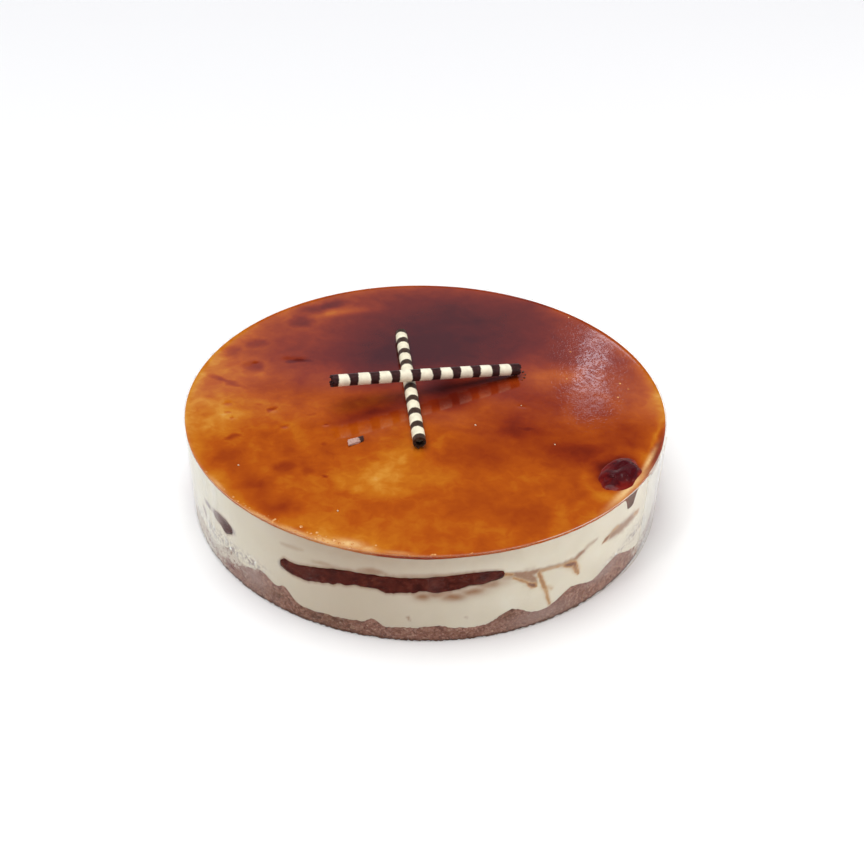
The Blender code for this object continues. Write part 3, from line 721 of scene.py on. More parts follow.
FOAM_AND_RIM_REFLECTION = (  # fine air that whitens the glaze at the rim at the front left; the two at the right paint a reflection along the rim: x, y, half-sizes, amount, turn
    (-31, -112.2, 6, 2.4, 0.85, -16), (-23.5, -115, 3.6, 1.8, 0.6, -12),
    (-41, -110.5, 6.6, 1.5, 0.75, -21), (-54.5, -104.8, 8, 1.2, 0.6, -28),
    (-70, -95.5, 8, 0.9, 0.5, -36), (-93, -73, 6, 0.9, 0.45, -52), (-11, -117, 6, 1, 0.3, -6),
    (92.8, -70.5, 15, 1.8, 0.95, 53), (104.8, -50, 11, 1.1, 0.8, 65),
)  # fmt: skip
SKIRT_FROM = 0.0004  # how far under the top the skirt starts
SKIRT_DEPTH = 0.4
SKIRT_SHADES = ((-3, 0.3, 11), (52, 0.6, 4), (66, 0.4, 7))  # turn, change of depth, half-width in degrees
POOL_DRIFT, POOL_DRIFT_LENGTH = 0.007, 0.022  # how far, and over what length, the pools flowed
SPOT_DRIFT = 0.0015
SPOT_RAGGED, SPOT_RAGGED_LENGTH = 0.0018, 0.004
DEPTH_CLOUDS = ((0.1, 0.019), (0.09, 0.0075))  # change of depth, length


def far_from(place, x, y, wide, high, turned=0):
    """How far a place is from the middle of a spot on the top, squared, where 1 is its edge."""
    spot = Matrix.Rotation(math.radians(-turned), 2) @ Vector((place.x / MM - x, place.y / MM - y))
    return (spot.x / wide) ** 2 + (spot.y / high) ** 2


def shares_of(place, spots, shape):
    """What each of these spots on the top adds at a place, by the shape of its slope."""
    for x, y, wide, high, change, *turned in spots:
        yield change * shape(far_from(place, x, y, wide, high, *turned))


def smooth(far):
    return math.exp(-far)


def cratered(far):
    """A steeper edge, with a faint rim of the other kind round it."""
    if far >= 8:
        return 0.0
    return math.exp(-(far**1.5)) - 0.22 * math.exp(-(((math.sqrt(far) - 1.45) / 0.3) ** 2))


def sideways(place, length, apart):
    """Noise along x and y, over that length; apart keeps the two from being alike."""
    return Vector((noise.noise(place / length), noise.noise(place / length + apart), 0))


def glaze_depth(place):
    """0 where the caramel is thinnest and golden, 1 where it is deepest and nearly black."""
    radius, turn = place.xy.length, turn_of(place)
    drift = sideways(place, POOL_DRIFT_LENGTH, Vector((7, 3, 1)))
    flowed = place + drift * POOL_DRIFT
    # The patches at (16, 4) and (4, 11) paint the rolls' shadow as deeper caramel.
    depth = DEPTH_LEVEL + sum(shares_of(flowed, DEPTH_AND_SHADOW_PATCHES, smooth))
    ragged = sideways(place, SPOT_RAGGED_LENGTH, Vector((5, 2, 8)))
    torn = place + drift * SPOT_DRIFT + ragged * SPOT_RAGGED
    depth += sum(shares_of(torn, DEPTH_SPOTS, cratered))
    uneven = sum(change * noise.noise(place / length + drift) for change, length in DEPTH_CLOUDS)
    depth += uneven * max(0.35, 1.2 - depth)
    rim = math.exp(-(((CAKE_RADIUS - radius) / GOLDEN_RIM_WIDTH) ** 2))
    depth += rim * sum(change * hump(turn, centre, width) for centre, width, change in GOLDEN_RIMS)
    if on_skirt(place):
        depth = SKIRT_DEPTH + rises(turn, SKIRT_SHADES) / MM
    return depth


def wrinkled_at(place):
    return 0.12 + math.exp(-far_from(place, *RIPPLED))


def foam_and_reflection_at(place):
    return max(shares_of(place, FOAM_AND_RIM_REFLECTION, smooth))


def on_skirt(place):
    """Whether a place is on the glaze that ran down between the film and the cream."""
    return place.z < GLAZE_HEIGHT - SKIRT_FROM and place.xy.length > CAKE_RADIUS - REBATE / 2


def glaze_top(turn, radius):
    place = around(turn, radius)
    wave = GLAZE_WAVE * 0.5 * (rough(turn, radius, 0, GLAZE_WAVE_LENGTH) - 1)
    dents = MM * sum(
        depth * math.exp(-((place.x / MM - x) ** 2 + (place.y / MM - y) ** 2) / size**2)
        for x, y, size, depth in GLAZE_DENTS + BURST_BUBBLES
    )
    ripple = RIPPLE * wrinkled_at(place) * noise.noise(place / RIPPLE_LENGTH)
    climb = RIM_RISE * math.exp(-(CAKE_RADIUS - radius) / RIM_CURVE)
    return GLAZE_HEIGHT + wave + ripple + climb - dents


def glaze_section(turn):
    foot = skirt_foot(turn)
    inner = CAKE_RADIUS - REBATE + FIT / 3
    rim = GLAZE_HEIGHT + RIM_RISE
    skirt = [(CAKE_RADIUS, foot + (rim - foot) * row / 8) for row in range(9)]
    top = []
    for ring in range(1, GLAZE_RINGS):
        radius = CAKE_RADIUS * (1 - (ring / GLAZE_RINGS) ** 1.15)
        top.append((radius, glaze_top(turn, radius)))
    return [
        (0.0, CREAM_TOP + FIT / 3),
        (CREAM_DISH_SHARE * CAKE_RADIUS, CREAM_TOP + FIT / 3),
        (inner, CREAM_EDGE_TOP + FIT / 3),
        (inner, foot + SKIRT_SHELF),
        *skirt,
        *top,
        (0.0, glaze_top(0, 0)),
    ]


def waver(finish, reach, grain, detail=3.0, warp=0.0):
    """Noise of that grain and reach, around 0."""
    return times(finish, sums(finish, "SUBTRACT", cloud(finish, grain, detail, warp=warp), 0.5), reach)


def glaze_finish(name, roughness, specular):
    finish, shader = new_finish(name, roughness, specular)
    uneven = plus(finish, waver(finish, 0.3, 0.005, 4.0, 0.7), waver(finish, 0.26, 0.019, 3.0, 0.8))
    calmed = sums(finish, "MAXIMUM", sums(finish, "SUBTRACT", 1.15, amount_of(finish, "depth")), 0.25)
    depth = plus(finish, amount_of(finish, "depth"), times(finish, uneven, calmed))
    caramel = ramp(
        finish, depth,
        (0.0, (0.7, 0.4, 0.12)), (0.14, (0.6, 0.24, 0.028)), (0.28, (0.51, 0.145, 0.008)),
        (0.42, (0.42, 0.08, 0.0045)), (0.55, (0.33, 0.051, 0.004)), (0.68, (0.24, 0.027, 0.004)),
        (0.82, (0.14, 0.012, 0.004)), (1.0, (0.055, 0.004, 0.003)),
    )  # fmt: skip
    # The pale blend is foam at the front left and a painted reflection along the rim at the right.
    colour_with(finish, shader, blend(finish, mottled(finish, "foam_and_reflection", 0.0013), caramel, (0.8, 0.52, 0.23)))
    pits = times(finish, grey_ramp(finish, cloud(finish, 0.0015, 2.0), 0.5, 0.62), 0.5)
    crazed = sums(finish, "SUBTRACT", cloud(finish, 0.003, 2.0), pits)
    raise_by(finish, shader, times(finish, crazed, amount_of(finish, "wrinkled")), 0.00003)
    return finish


glaze_mesh = turned_mesh("caramel_glaze_pour", glaze_section, GLAZE_STEPS)
glaze_mesh.set_sharp_from_angle(angle=math.radians(55))
paint(glaze_mesh, "depth", glaze_depth)
paint(glaze_mesh, "foam_and_reflection", foam_and_reflection_at)
paint(glaze_mesh, "wrinkled", wrinkled_at)
glaze = new_piece("caramel_glaze_pour", glaze_mesh, glaze_finish("caramel_glaze", 0.06, 0.5))
glaze_mesh.materials.append(glaze_finish("caramel_skirt", 0.6, 0.12))
for face in glaze_mesh.polygons:
    face.material_index = int(on_skirt(face.center))
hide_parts("caramel_glaze")
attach(glaze, "root")

# ------------------------------------------------------------------------------- The rim's bubbles
# Air that rose to the film at the front left while the glaze set. It froze there as a strip of
# small low domes of caramel, thickest in the pale foam, with a few larger ones beside it.

BUBBLE_STRIPS = (  # first turn, last turn, how far in from the film, how many
    (-24, -10, 4.2, 30), (-36, -24, 2.6, 20), (-58, -36, 1.4, 16), (-8, 12, 1, 6),
)  # fmt: skip
BUBBLE_SIZES = (0.0002, 0.00075)
BUBBLE_FLATNESS = 0.5
BUBBLE_CLEARANCE = 0.0008  # from the film
LARGE_BUBBLES = (  # x, y, radius
    (-52.7, -101.3, 0.9), (-37.7, -109.8, 1.1), (-48, -105.8, 0.7), (-30, -112, 0.7), (-44, -107, 0.6),
    (80, 85, 0.6), (100.2, 17, 0.7), (103.8, 11.9, 0.6), (73, 20.5, 0.5), (77.5, 47.7, 0.6),
    (97.5, 4, 0.6), (5, -118, 0.6),
)  # fmt: skip
BUBBLE_SEED = 11


def add_dome(bm, place, radius, flatness):
    """A low dome that grows out of the surface at that place."""
    made = bmesh.ops.create_icosphere(bm, subdivisions=2, radius=radius)
    bmesh.ops.scale(bm, vec=(1, 1, flatness), verts=made["verts"])
    bmesh.ops.translate(bm, vec=place, verts=made["verts"])


def on_glaze(x, y, lift):
    """The place on the glaze at x and y, in millimetres, and that far above it."""
    place = Vector((x, y, 0.0)) * MM
    place.z = glaze_top(turn_of(place), place.length) + lift
    return place


def shaped_mesh(name, bm):
    mesh = bpy.data.meshes.new(name)
    bm.to_mesh(mesh)
    bm.free()
    mesh.shade_smooth()
    return mesh


def bubble_finish():
    finish, shader = new_finish("caramel_bubbles", 0.08, 0.5)
    gold = ramp(finish, cloud(finish, 0.0016, 2.0), (0.3, (0.5, 0.15, 0.02)), (0.7, (0.78, 0.42, 0.13)))
    colour_with(finish, shader, gold)
    raise_by(finish, shader, cloud(finish, 0.0004, 2.0), 0.00003, 0.3)
    return finish


draw = random.Random(BUBBLE_SEED)
bm = bmesh.new()
for first, last, inward, count in BUBBLE_STRIPS:
    for _ in range(count):
        turn = draw.uniform(first, last)
        reach = CAKE_RADIUS - BUBBLE_CLEARANCE - MM * inward * draw.random() ** 1.8
        size = BUBBLE_SIZES[0] + (BUBBLE_SIZES[1] - BUBBLE_SIZES[0]) * draw.random() ** 2.5
        add_dome(bm, around(turn, reach, glaze_top(turn, reach) - 0.1 * size), size, BUBBLE_FLATNESS)
for x, y, size in LARGE_BUBBLES:
    add_dome(bm, on_glaze(x, y, -0.15 * size * MM), size * MM, BUBBLE_FLATNESS)
bubbles = new_piece("rim_bubbles", shaped_mesh("rim_bubbles", bm), bubble_finish())
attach(bubbles, "root")

# ------------------------------------------------------------------------------- The caramel lump
# A thick lump that stuck to the edge of the pan and slid out with the last of the glaze. It is
# dark, sticky and lobed, with blisters on it, and redder where it is thin.

LUMP_TURN, LUMP_REACH = 56.2, 0.1084
LUMP_SIZE = Vector((0.014, 0.0087, 0.0036))
LUMP_HEIGHT = 0.0492
LUMP_LOBES = ((-0.48, 0.12), (0.16, -0.22), (0.52, 0.3))
LUMP_LOBE_WIDTH, LUMP_VALLEY = 0.4, 0.72
LUMP_WRINKLE = 0.0009
LUMP_BLISTERS = (  # along the rim, across it, in half-sizes, and radius
    (-0.42, 0.1, 1.6), (0.3, 0.62, 0.7), (0.42, 0.55, 0.5), (0.2, 0.7, 0.5), (-0.1, -0.45, 0.6),
    (-0.62, 0.42, 0.7), (0.66, -0.2, 0.8),
)  # fmt: skip


def lump_finish():
    finish, shader = new_finish("thick_caramel", 0.08, 0.11)
    shader.inputs["Subsurface Weight"].default_value = 0.12
    shader.inputs["Subsurface Radius"].default_value = (1.0, 0.15, 0.1)
    shader.inputs["Subsurface Scale"].default_value = 0.002
    red = ramp(
        finish, plus(finish, amount_of(finish, "thickness"), times(finish, cloud(finish, 0.0045, 3.0), 0.7)),
        (0.3, (0.36, 0.04, 0.008)), (0.5, (0.18, 0.012, 0.008)), (0.78, (0.06, 0.005, 0.007)),
    )  # fmt: skip
    colour_with(finish, shader, red)
    raise_by(finish, shader, cloud(finish, 0.002, 2.0), 0.00004, 0.3)
    return finish


bm = bmesh.new()
bmesh.ops.create_icosphere(bm, subdivisions=6, radius=1.0)
for vert in bm.verts:
    ball = vert.co.copy()
    if ball.z > 0:
        nearest = min((ball.xy - Vector(lobe)).length for lobe in LUMP_LOBES)
        lobe = math.exp(-((nearest / LUMP_LOBE_WIDTH) ** 2))
        vert.co.z *= LUMP_VALLEY + (1 - LUMP_VALLEY) * lobe
    vert.co = Vector(co * size for co, size in zip(vert.co, LUMP_SIZE))
    swell = noise.noise(ball * 1.9) + 0.12 * noise.noise(ball * 5.0)
    vert.co += ball * LUMP_WRINKLE * swell * ease(ball.z * 2 + 0.6)
surface = [vert.co.copy() for vert in bm.verts]
for along, across, size in LUMP_BLISTERS:
    radius = size * MM
    flat = Vector((along * LUMP_SIZE.x, across * LUMP_SIZE.y))
    spot = min(surface, key=lambda place: (place.xy - flat).length - 0.2 * place.z)
    add_dome(bm, spot - Vector((0, 0, 0.35 * radius)), radius, 0.8)
lump_mesh = shaped_mesh("caramel_lump_sticky", bm)
lump_spot = Matrix.Translation(around(LUMP_TURN, LUMP_REACH, LUMP_HEIGHT))
lump_mesh.transform(lump_spot @ Matrix.Rotation(math.radians(LUMP_TURN), 4, "Z"))
paint(lump_mesh, "thickness", lambda place: 0.1 + ease((place.z - LUMP_HEIGHT) / LUMP_SIZE.z) * 0.5)
lump = new_piece("caramel_lump_sticky", lump_mesh, lump_finish())
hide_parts("caramel_lump")
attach(lump, "root")

# ----------------------------------------------------------------------------- The chocolate rolls
# Two pencils of white chocolate with dark stripes, each a thin sheet scraped up and rolled on
# itself. One lies flat on the glaze, the other stands on its right end and leans across it.

ROLL_LENGTH = 0.1015
ROLL_RADIUS, ROLL_BORE = 0.00345, 0.0017
SHEET_THICKNESS = 0.0006
SHEET_GAP = 0.00006
SHEET_STEPS = 44  # in one turn of the sheet
ROLL_SECTIONS = 120
ROLL_BOW = 0.0003
ROLL_TORN_FROM = 0.96  # of the way from its middle to its end
ROLL_WOBBLE, ROLL_WOBBLE_LENGTH = 0.00007, 0.006
STRIPE_SLANT, STRIPE_WANDER, STRIPE_WANDER_LENGTH = 0.0004, 0.0003, 0.004
LOWER_ROLL_MIDDLE = Vector((-0.0082, 0.0067, 0.0))
LOWER_ROLL_HEADING = 6.6
UPPER_ROLL_FOOT = Vector((0.0484, 0.0232, 0.0))
UPPER_ROLL_HEADING = -70.5
STRIPE_HALF = 0.0025
END_STRIPE = 0.0036  # the dark stripe that each end was cut through


def lower_roll_ends():
    heading = around(LOWER_ROLL_HEADING, 1.0)
    middle = LOWER_ROLL_MIDDLE + Vector((0, 0, GLAZE_HEIGHT + FIT + ROLL_RADIUS))
    return middle - heading * ROLL_LENGTH / 2, middle + heading * ROLL_LENGTH / 2


def upper_roll_ends():
    """It stands on its right foot and leans over the lower roll, so its slope follows from them."""
    heading = around(UPPER_ROLL_HEADING, 1.0)
    along = around(LOWER_ROLL_HEADING, 1.0)
    offset = LOWER_ROLL_MIDDLE - UPPER_ROLL_FOOT
    run = (offset.x * along.y - offset.y * along.x) / (heading.x * along.y - heading.y * along.x)
    slope = math.asin((2 * ROLL_RADIUS + FIT) / run)
    foot = UPPER_ROLL_FOOT + Vector((0, 0, GLAZE_HEIGHT + FIT + ROLL_RADIUS))
    return foot, foot + (heading * math.cos(slope) + Vector((0, 0, math.sin(slope)))) * ROLL_LENGTH


def sheet_spiral():
    """(radius outside, angle) along the rolled sheet, from its edge in the bore to its outer edge."""
    pitch = SHEET_THICKNESS + SHEET_GAP
    first = ROLL_BORE + SHEET_THICKNESS
    turns = (ROLL_RADIUS - first) / pitch
    steps = round(turns * SHEET_STEPS)
    shares = [step / steps for step in range(steps + 1)]
    return [(first + (ROLL_RADIUS - first) * share, math.tau * turns * share) for share in shares]


def stripe_at(along, pitch, first):
    """How far inside a dark stripe a place is, in metres; negative on the white chocolate."""
    from_stripe = abs(((along - first) / pitch + 0.5) % 1 - 0.5) * pitch
    return max(STRIPE_HALF - from_stripe, END_STRIPE - along, along - (ROLL_LENGTH - END_STRIPE))


def sheet_mesh(name, corners, rows, sharp, *finishes):
    """A closed sheet from pairs of corners, outside and inside, in columns that go up and follow each
    other round. The second finish, if any, is for its cut edge."""
    columns = len(corners) // (2 * rows)

    def at(column, row, side):
        return 2 * (column * rows + row) + side

    faces = []
    for column in range(columns - 1):
        for row in range(rows - 1):
            square = (column, row), (column + 1, row), (column + 1, row + 1), (column, row + 1)
            faces.append([at(*spot, 0) for spot in square])
            faces.append([at(*spot, 1) for spot in reversed(square)])
    flat = len(faces)
    rim = [(column, 0) for column in range(columns)] + [(columns - 1, row) for row in range(1, rows)]
    rim += [(columns - 1 - column, rows - 1) for column in range(1, columns)]
    rim += [(0, rows - 1 - row) for row in range(1, rows)]
    for spot, after in zip(rim, rim[1:]):
        faces.append((at(*spot, 0), at(*spot, 1), at(*after, 1), at(*after, 0)))
    mesh = bpy.data.meshes.new(name)
    mesh.from_pydata(corners, [], faces)
    mesh.shade_smooth()
    mesh.set_sharp_from_angle(angle=math.radians(sharp))
    for index, finish in enumerate(finishes):
        mesh.materials.append(finish)
        for face in range(flat if index else 0, len(faces)):
            mesh.polygons[face].material_index = index
    return mesh


def roll_mesh(name, ends, seed, bow, raggedness, pitch, first):
    start, end = ends
    turned = (end - start).to_track_quat("Z", "Y").to_matrix().to_4x4()
    corners, stripes = [], []
    for radius, angle in sheet_spiral():
        for section in range(ROLL_SECTIONS + 1):
            share = section / ROLL_SECTIONS
            torn = noise.noise(Vector((math.cos(angle) * 1.6, math.sin(angle) * 1.6, angle + seed)))
            torn = raggedness * abs(torn + 0.5 * noise.noise(Vector((angle * 2.4, seed, share))))
            near_end = max(0.0, abs(share - 0.5) * 2 - ROLL_TORN_FROM) / (1 - ROLL_TORN_FROM)
            along = ROLL_LENGTH * share + math.copysign(torn * near_end, 0.5 - share)
            wobble = ROLL_WOBBLE * noise.noise(Vector((angle, along / ROLL_WOBBLE_LENGTH, seed)))
            lift = Vector((0, 0, -bow * (2 * share - 1) ** 2))
            for reach in (radius + wobble, radius + wobble - SHEET_THICKNESS):
                spot = Vector((reach * math.cos(angle), reach * math.sin(angle), along))
                corners.append(start + turned @ spot + lift)
            spot = Vector((math.cos(angle), math.sin(angle), along / STRIPE_WANDER_LENGTH + seed))
            slant = STRIPE_SLANT * math.sin(angle + seed) + STRIPE_WANDER * noise.noise(spot)
            stripes += [(stripe_at(along, pitch, first) + slant) / MM] * 2
    mesh = sheet_mesh(name, corners, ROLL_SECTIONS + 1, 50)
    mesh.attributes.new("stripe", "FLOAT", "POINT").data.foreach_set("value", stripes)
    return mesh


def roll_finish(name, dark, ivory):
    finish, shader = new_finish(name, 0.36, 0.16)
    edge = plus(finish, amount_of(finish, "stripe"), waver(finish, 0.9, 0.0012))
    edge = grey_ramp(finish, edge, -0.22, 0.22)
    shaded = tuple(0.84 * part for part in ivory)
    pale = ramp(finish, cloud(finish, 0.003, 3.0), (0.35, shaded), (0.65, ivory))
    deep = ramp(finish, cloud(finish, 0.0014, 4.0), (0.35, dark), (0.75, tuple(2.4 * part for part in dark)))
    colour_with(finish, shader, blend(finish, edge, pale, deep))
    raise_by(finish, shader, cloud(finish, 0.0011, 4.0), 0.00012, 0.6)
    return finish


lower_roll = new_piece(
    "chocolate_roll_lower_sheet",
    roll_mesh("chocolate_roll_lower_sheet", lower_roll_ends(), 2.0, 0.0, 0.001, 0.01122, 0.0),
    roll_finish("striped_chocolate_dusty", (0.034, 0.019, 0.013), (0.93, 0.86, 0.65)),
)
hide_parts("chocolate_roll_lower")
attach(lower_roll, "root")

upper_roll = new_piece(
    "chocolate_roll_upper_sheet",
    roll_mesh("chocolate_roll_upper_sheet", upper_roll_ends(), 5.0, ROLL_BOW, 0.0022, 0.01083, 0.0037),
    roll_finish("striped_chocolate_fresh", (0.026, 0.0085, 0.0085), (0.95, 0.89, 0.7)),
)
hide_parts("chocolate_roll_upper")
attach(upper_roll, "root")

# ----------------------------------------------------------------------------- The chocolate shard
# A chip broken off the end of a roll, half dark and half white, that dropped on the warm glaze and
# stuck. It keeps the bend of the roll it came from.

SHARD_SIZE = Vector((0.0085, 0.0036, 0.001))
SHARD_PLACE = Vector((-0.033, -0.0384, 0.0506))
SHARD_HEADING, SHARD_TILT = 36.0, 6.0
SHARD_ARCH = 0.0008
SHARD_SKEW = 0.22
SHARD_DARK_FROM = 0.18  # of its length, from its middle


def shard_finish():
    finish, shader = new_finish("broken_chocolate", 0.4, 0.2)
    edge = plus(finish, amount_of(finish, "dark_end"), waver(finish, 0.3, 0.001, 2.0))
    edge = grey_ramp(finish, edge, 0.44, 0.56)
    white = ramp(finish, cloud(finish, 0.0012, 2.0), (0.3, (0.4, 0.22, 0.17)), (0.7, (0.62, 0.42, 0.36)))
    colour_with(finish, shader, blend(finish, edge, white, (0.045, 0.016, 0.013)))
    raise_by(finish, shader, cloud(finish, 0.0007, 3.0), 0.0001, 0.6)
    return finish


bm = bmesh.new()
bmesh.ops.create_cube(bm, size=1.0)
bmesh.ops.subdivide_edges(bm, edges=bm.edges, cuts=7, use_grid_fill=True)
for vert in bm.verts:
    unit = vert.co.copy()
    torn = 1 + 0.1 * noise.noise(unit * 2.7)
    vert.co.x = (unit.x + SHARD_SKEW * unit.y) * SHARD_SIZE.x * torn
    vert.co.y = unit.y * SHARD_SIZE.y * torn
    vert.co.z = unit.z * SHARD_SIZE.z + SHARD_ARCH * (0.75 - 4 * unit.y**2)
shard_spot = Matrix.Translation(SHARD_PLACE) @ Matrix.Rotation(math.radians(SHARD_HEADING), 4, "Z")
shard_spot = shard_spot @ Matrix.Rotation(math.radians(SHARD_TILT), 4, "Y")
shard_mesh = shaped_mesh("chocolate_shard", bm)
shard_mesh.shade_flat()
dark_end = [0.5 + (corner.co.x / SHARD_SIZE.x - SHARD_DARK_FROM) * 2 for corner in shard_mesh.vertices]
shard_mesh.attributes.new("dark_end", "FLOAT", "POINT").data.foreach_set("value", dark_end)
shard_mesh.transform(shard_spot)
shard = new_piece("chocolate_shard", shard_mesh, shard_finish())
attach(shard, "root")

# --------------------------------------------------------------------------------- Loose crumbs
# Specks of chocolate that fell on the glaze as the rolls were laid, most of them by the upper roll's right
# end.
# A few pale specks elsewhere are painted glints.

PALE_GLINT_SPECKS = (  # x, y, radius
    (24.4, -23, 0.45), (-37.7, -90.4, 0.4), (-85.8, -58.7, 0.4), (62, -38, 0.4), (47.8, -5.2, 0.3),
)  # fmt: skip
DARK_SPECKS = (
    (50.6, 26.2, 0.6), (51, 20.5, 0.5), (49.7, 18.5, 0.4), (51.6, 23.5, 0.4),
)  # fmt: skip


def speck_piece(name, specks, low, high, seed):
    finish, shader = new_finish(name, 0.5, 0.4)
    colour_with(finish, shader, ramp(finish, cloud(finish, 0.0005, 2.0), (0.35, low), (0.65, high)))
    raise_by(finish, shader, cloud(finish, 0.0003, 2.0), 0.0001, 0.6)
    bm = bmesh.new()
    for x, y, size in specks:
        made = bmesh.ops.create_icosphere(bm, subdivisions=2, radius=size * MM)["verts"]
        for vert in made:
            vert.co *= 1 + 0.45 * noise.noise(vert.co / (size * MM) * 1.3 + Vector((0.9 * x, 0.9 * y, seed)))
            vert.co.z *= 0.75
        bmesh.ops.translate(bm, vec=on_glaze(x, y, 0.45 * size * MM), verts=made)
    piece = new_piece(name, shaped_mesh(name, bm), finish)
    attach(piece, "root")
    return piece


# Pale specks: painted glints on the glaze.
speck_piece("painted_glint_specks", PALE_GLINT_SPECKS, (0.55, 0.42, 0.26), (0.85, 0.78, 0.62), 1)
dark_specks = speck_piece("chocolate_specks", DARK_SPECKS, (0.035, 0.014, 0.012), (0.09, 0.04, 0.03), 2)

# -------------------------------------------------------------------------------- The clear collar
# A strip of stiff clear film, cut to height and wrapped once round the cake with its end lapped and
# held by the cream. It is nearly invisible but for its reflections and its cut edges.

FILM = 0.0003
COLLAR_FOOT, COLLAR_TOP = 0.0005, 0.0508
COLLAR_SEAM = 60.0  # where the strip starts
COLLAR_LAP = 15.0  # in degrees
COLLAR_TURN_STEP = 1.0
COLLAR_ROWS = 6
COLLAR_RIPPLE = 0.00004


def film_finish():
    """Clear plastic: what is behind it, and what its two faces reflect."""
    finish = bpy.data.materials.new("clear_film")
    finish.use_nodes = True
    shader = finish.node_tree.nodes["Principled BSDF"]
    shader.inputs["Base Color"].default_value = (0.95, 0.96, 0.96, 1.0)
    shader.inputs["Roughness"].default_value = 0.06
    slant = add(finish, "LayerWeight", Blend=0.5).outputs["Facing"]
    sheen = times(finish, sums(finish, "POWER", slant, 5.0), 0.35)
    haze = times(finish, grey_ramp(finish, cloud(finish, 0.01, 3.0, (1, 1, 0.25)), 0.5, 0.85), 0.015)
    across = add(finish, "SeparateXYZ", Vector=place_on(finish)).outputs["X"]
    aside = sums(finish, "ABSOLUTE", sums(finish, "SUBTRACT", across, 0.007))
    streaks = grey_ramp(finish, cloud(finish, 0.005, 3.0, (1, 1, 0.12), 0.6), 0.52, 0.72)
    glare = times(finish, times(finish, grey_ramp(finish, aside, 0.089, 0.115), streaks), 0.2)
    finish.node_tree.links.new(plus(finish, plus(finish, sheen, haze), glare), shader.inputs["Alpha"])
    raise_by(finish, shader, cloud(finish, 0.015, 2.0, (1, 1, 0.3)), 0.0002, 0.3)
    return finish


def edge_finish():
    """The film's cut edge, which scatters light. Its paleness is painted light: strong at the right and
    hardly any at the left.
    """
    finish, shader = new_finish("clear_film_edge", 0.3, 0.6)
    pale = ramp(finish, cloud(finish, 0.006, 2.0), (0.3, (0.74, 0.66, 0.52)), (0.7, (0.88, 0.84, 0.76)))
    colour_with(finish, shader, pale)
    across = add(finish, "SeparateXYZ", Vector=place_on(finish)).outputs["X"]
    painted_edge_light = plus(finish, times(finish, grey_ramp(finish, across, 0.02, 0.09), 0.73), 0.12)
    faint = times(finish, painted_edge_light, grey_ramp(finish, cloud(finish, 0.009, 3.0), 0.25, 0.6))
    finish.node_tree.links.new(faint, shader.inputs["Alpha"])
    return finish


def collar_corners():
    """Pairs of corners, outside and inside, up the film and on round the cake."""
    for step in range(round((360 + COLLAR_LAP) / COLLAR_TURN_STEP) + 1):
        turned = step * COLLAR_TURN_STEP
        lap = ease((turned - 360 + COLLAR_LAP) / COLLAR_LAP) * (FILM + FIT)
        for row in range(COLLAR_ROWS + 1):
            height = COLLAR_FOOT + (COLLAR_TOP - COLLAR_FOOT) * row / COLLAR_ROWS
            ripple = COLLAR_RIPPLE * rough(COLLAR_SEAM + turned, CAKE_RADIUS, 0.4 * height, 0.022)
            inside = CAKE_RADIUS + FIT + lap + ripple
            yield around(COLLAR_SEAM + turned, inside + FILM, height)
            yield around(COLLAR_SEAM + turned, inside, height)


collar_mesh = sheet_mesh(
    "clear_collar_film", list(collar_corners()), COLLAR_ROWS + 1, 40, film_finish(), edge_finish()
)
collar = new_piece("clear_collar_film", collar_mesh)
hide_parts("clear_collar")
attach(collar, "root")

# -------------------------------------------------------------------- The table, light and camera
# A plain pale table that the cake stands on, a soft light from above, two white panels at the
# sides, a small window behind to the right, and a camera that looks down on the front.

TABLE_HALF = 4.0
CAMERA_PLACE = Vector((0.0, -0.4719, 0.3645))
CAMERA_PITCH, CAMERA_YAW, CAMERA_ROLL = 35.33, 0.42, 1.28  # down, right and clockwise, in degrees
LENS, SENSOR = 46.86, 36.0
CEILING_COLOUR, CEILING_POWER, CEILING_SPREAD = (0.97, 0.98, 1.0), 2.0, 50
ROOM_SHADES = (  # sine of the height above the horizon, colour: lavender walls under a dark cornice
    (0.0, (0.6, 0.6, 0.62)), (0.4, (0.44, 0.41, 0.5)), (0.536, (0.4, 0.36, 0.46)),
    (0.57, (0.045, 0.04, 0.05)), (0.72, (0.05, 0.05, 0.055)), (1.0, (0.3, 0.3, 0.32)),
)  # fmt: skip
SIDE_PANELS = (  # where each stands, its width and height, power, colour
    (Vector((1.1, -0.25, 0.42)), 0.9, 0.7, 4.6, (1.0, 0.95, 0.86)),
    (Vector((-1.1, -0.15, 0.42)), 0.9, 0.7, 1.7, (0.9, 1.0, 0.92)),
)
WINDOW_PLACE = Vector((0.61, 3.05, 1.935))
WINDOW_SIZE = (0.1, 0.19)
WINDOW_COLOUR, WINDOW_POWER = (0.8, 0.86, 1.0), 0.22
GLINT_PLACE = Vector((-0.55, -0.55, 1.25))
GLINT_COLOUR, GLINT_POWER, GLINT_SIZE = (1.0, 0.97, 0.92), 2.0, 0.12


def new_light(name, kind, place, power, colour, aim=Vector((0, 0, 0.04))):
    light = bpy.data.lights.new(name, kind)
    light.energy = power
    light.color = colour
    lamp = bpy.data.objects.new(name, light)
    lamp.location = place
    lamp.rotation_euler = (aim - place).to_track_quat("-Z", "Y").to_euler()
    bpy.context.scene.collection.objects.link(lamp)
    return light


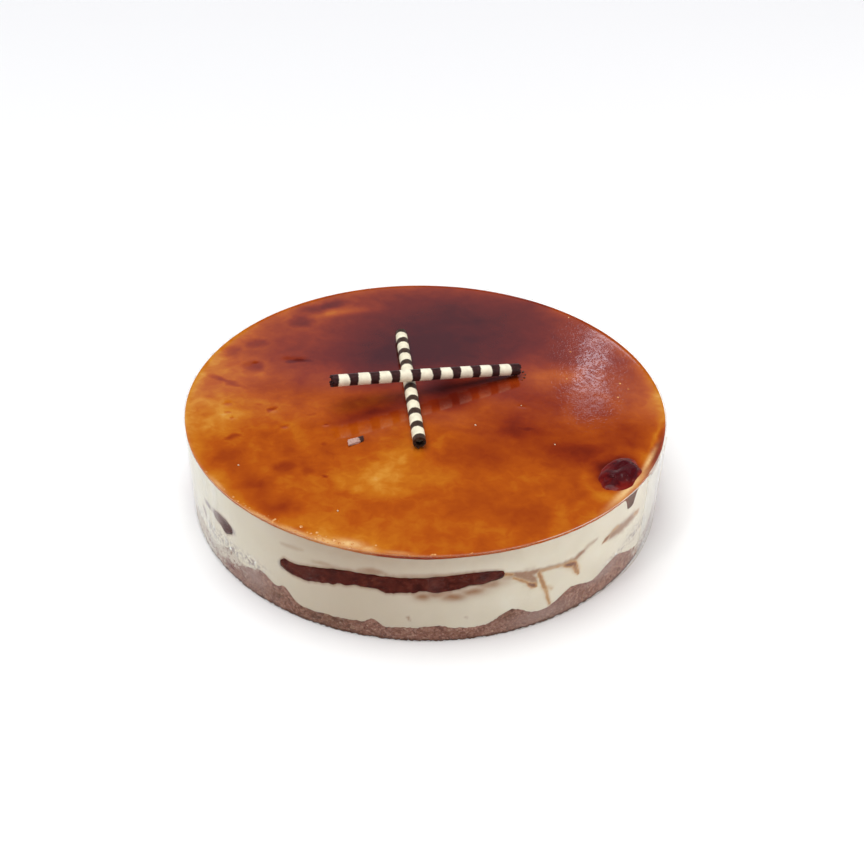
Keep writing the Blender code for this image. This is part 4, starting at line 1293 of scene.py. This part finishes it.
table_finish, table_shader = new_finish("pale_table", 0.7, 0.2)
table_shader.inputs["Base Color"].default_value = (0.9, 0.9, 0.9, 1.0)
bm = bmesh.new()
bmesh.ops.create_grid(bm, x_segments=1, y_segments=1, size=TABLE_HALF)
bmesh.ops.translate(bm, vec=(0, 0, -0.0001), verts=bm.verts)
new_piece("table", shaped_mesh("table", bm), table_finish)

sky = bpy.data.worlds.new("room")
bpy.context.scene.world = sky
sky.use_nodes = True
direction = sky.node_tree.nodes.new("ShaderNodeTexCoord").outputs["Generated"]
height = sky.node_tree.nodes.new("ShaderNodeSeparateXYZ")
shades = sky.node_tree.nodes.new("ShaderNodeValToRGB")
sky.node_tree.links.new(direction, height.inputs[0])
sky.node_tree.links.new(height.outputs["Z"], shades.inputs["Fac"])
sky.node_tree.links.new(shades.outputs["Color"], sky.node_tree.nodes["Background"].inputs["Color"])
stops = shades.color_ramp.elements
for stop, tint in ROOM_SHADES:
    element = stops.new(stop) if 0.0 < stop < 1.0 else stops[int(stop)]
    element.color = (*tint, 1.0)

ceiling = new_light("ceiling", "SUN", Vector((-0.3, 0.1, 2.0)), CEILING_POWER, CEILING_COLOUR)
ceiling.angle = math.radians(CEILING_SPREAD)
for index, (place, width, tall, power, tint) in enumerate(SIDE_PANELS):
    panel = new_light(f"side_panel_{index}", "AREA", place, power, tint)
    panel.shape = "RECTANGLE"
    panel.size, panel.size_y = width, tall
window = new_light("window", "AREA", WINDOW_PLACE, WINDOW_POWER, WINDOW_COLOUR)
window.shape = "RECTANGLE"
window.size, window.size_y = WINDOW_SIZE
glint = new_light("glint", "AREA", GLINT_PLACE, GLINT_POWER, GLINT_COLOUR)
glint.size = GLINT_SIZE

camera = bpy.data.objects.new("camera", bpy.data.cameras.new("camera"))
camera.data.lens = LENS
camera.data.sensor_width = SENSOR
stand = Matrix.Translation(CAMERA_PLACE)
for angle, axis in ((-CAMERA_YAW, "Z"), (90 - CAMERA_PITCH, "X"), (CAMERA_ROLL, "Z")):
    stand = stand @ Matrix.Rotation(math.radians(angle), 4, axis)
camera.matrix_world = stand
bpy.context.scene.collection.objects.link(camera)
bpy.context.scene.camera = camera
bpy.context.scene.view_settings.view_transform = "Standard"
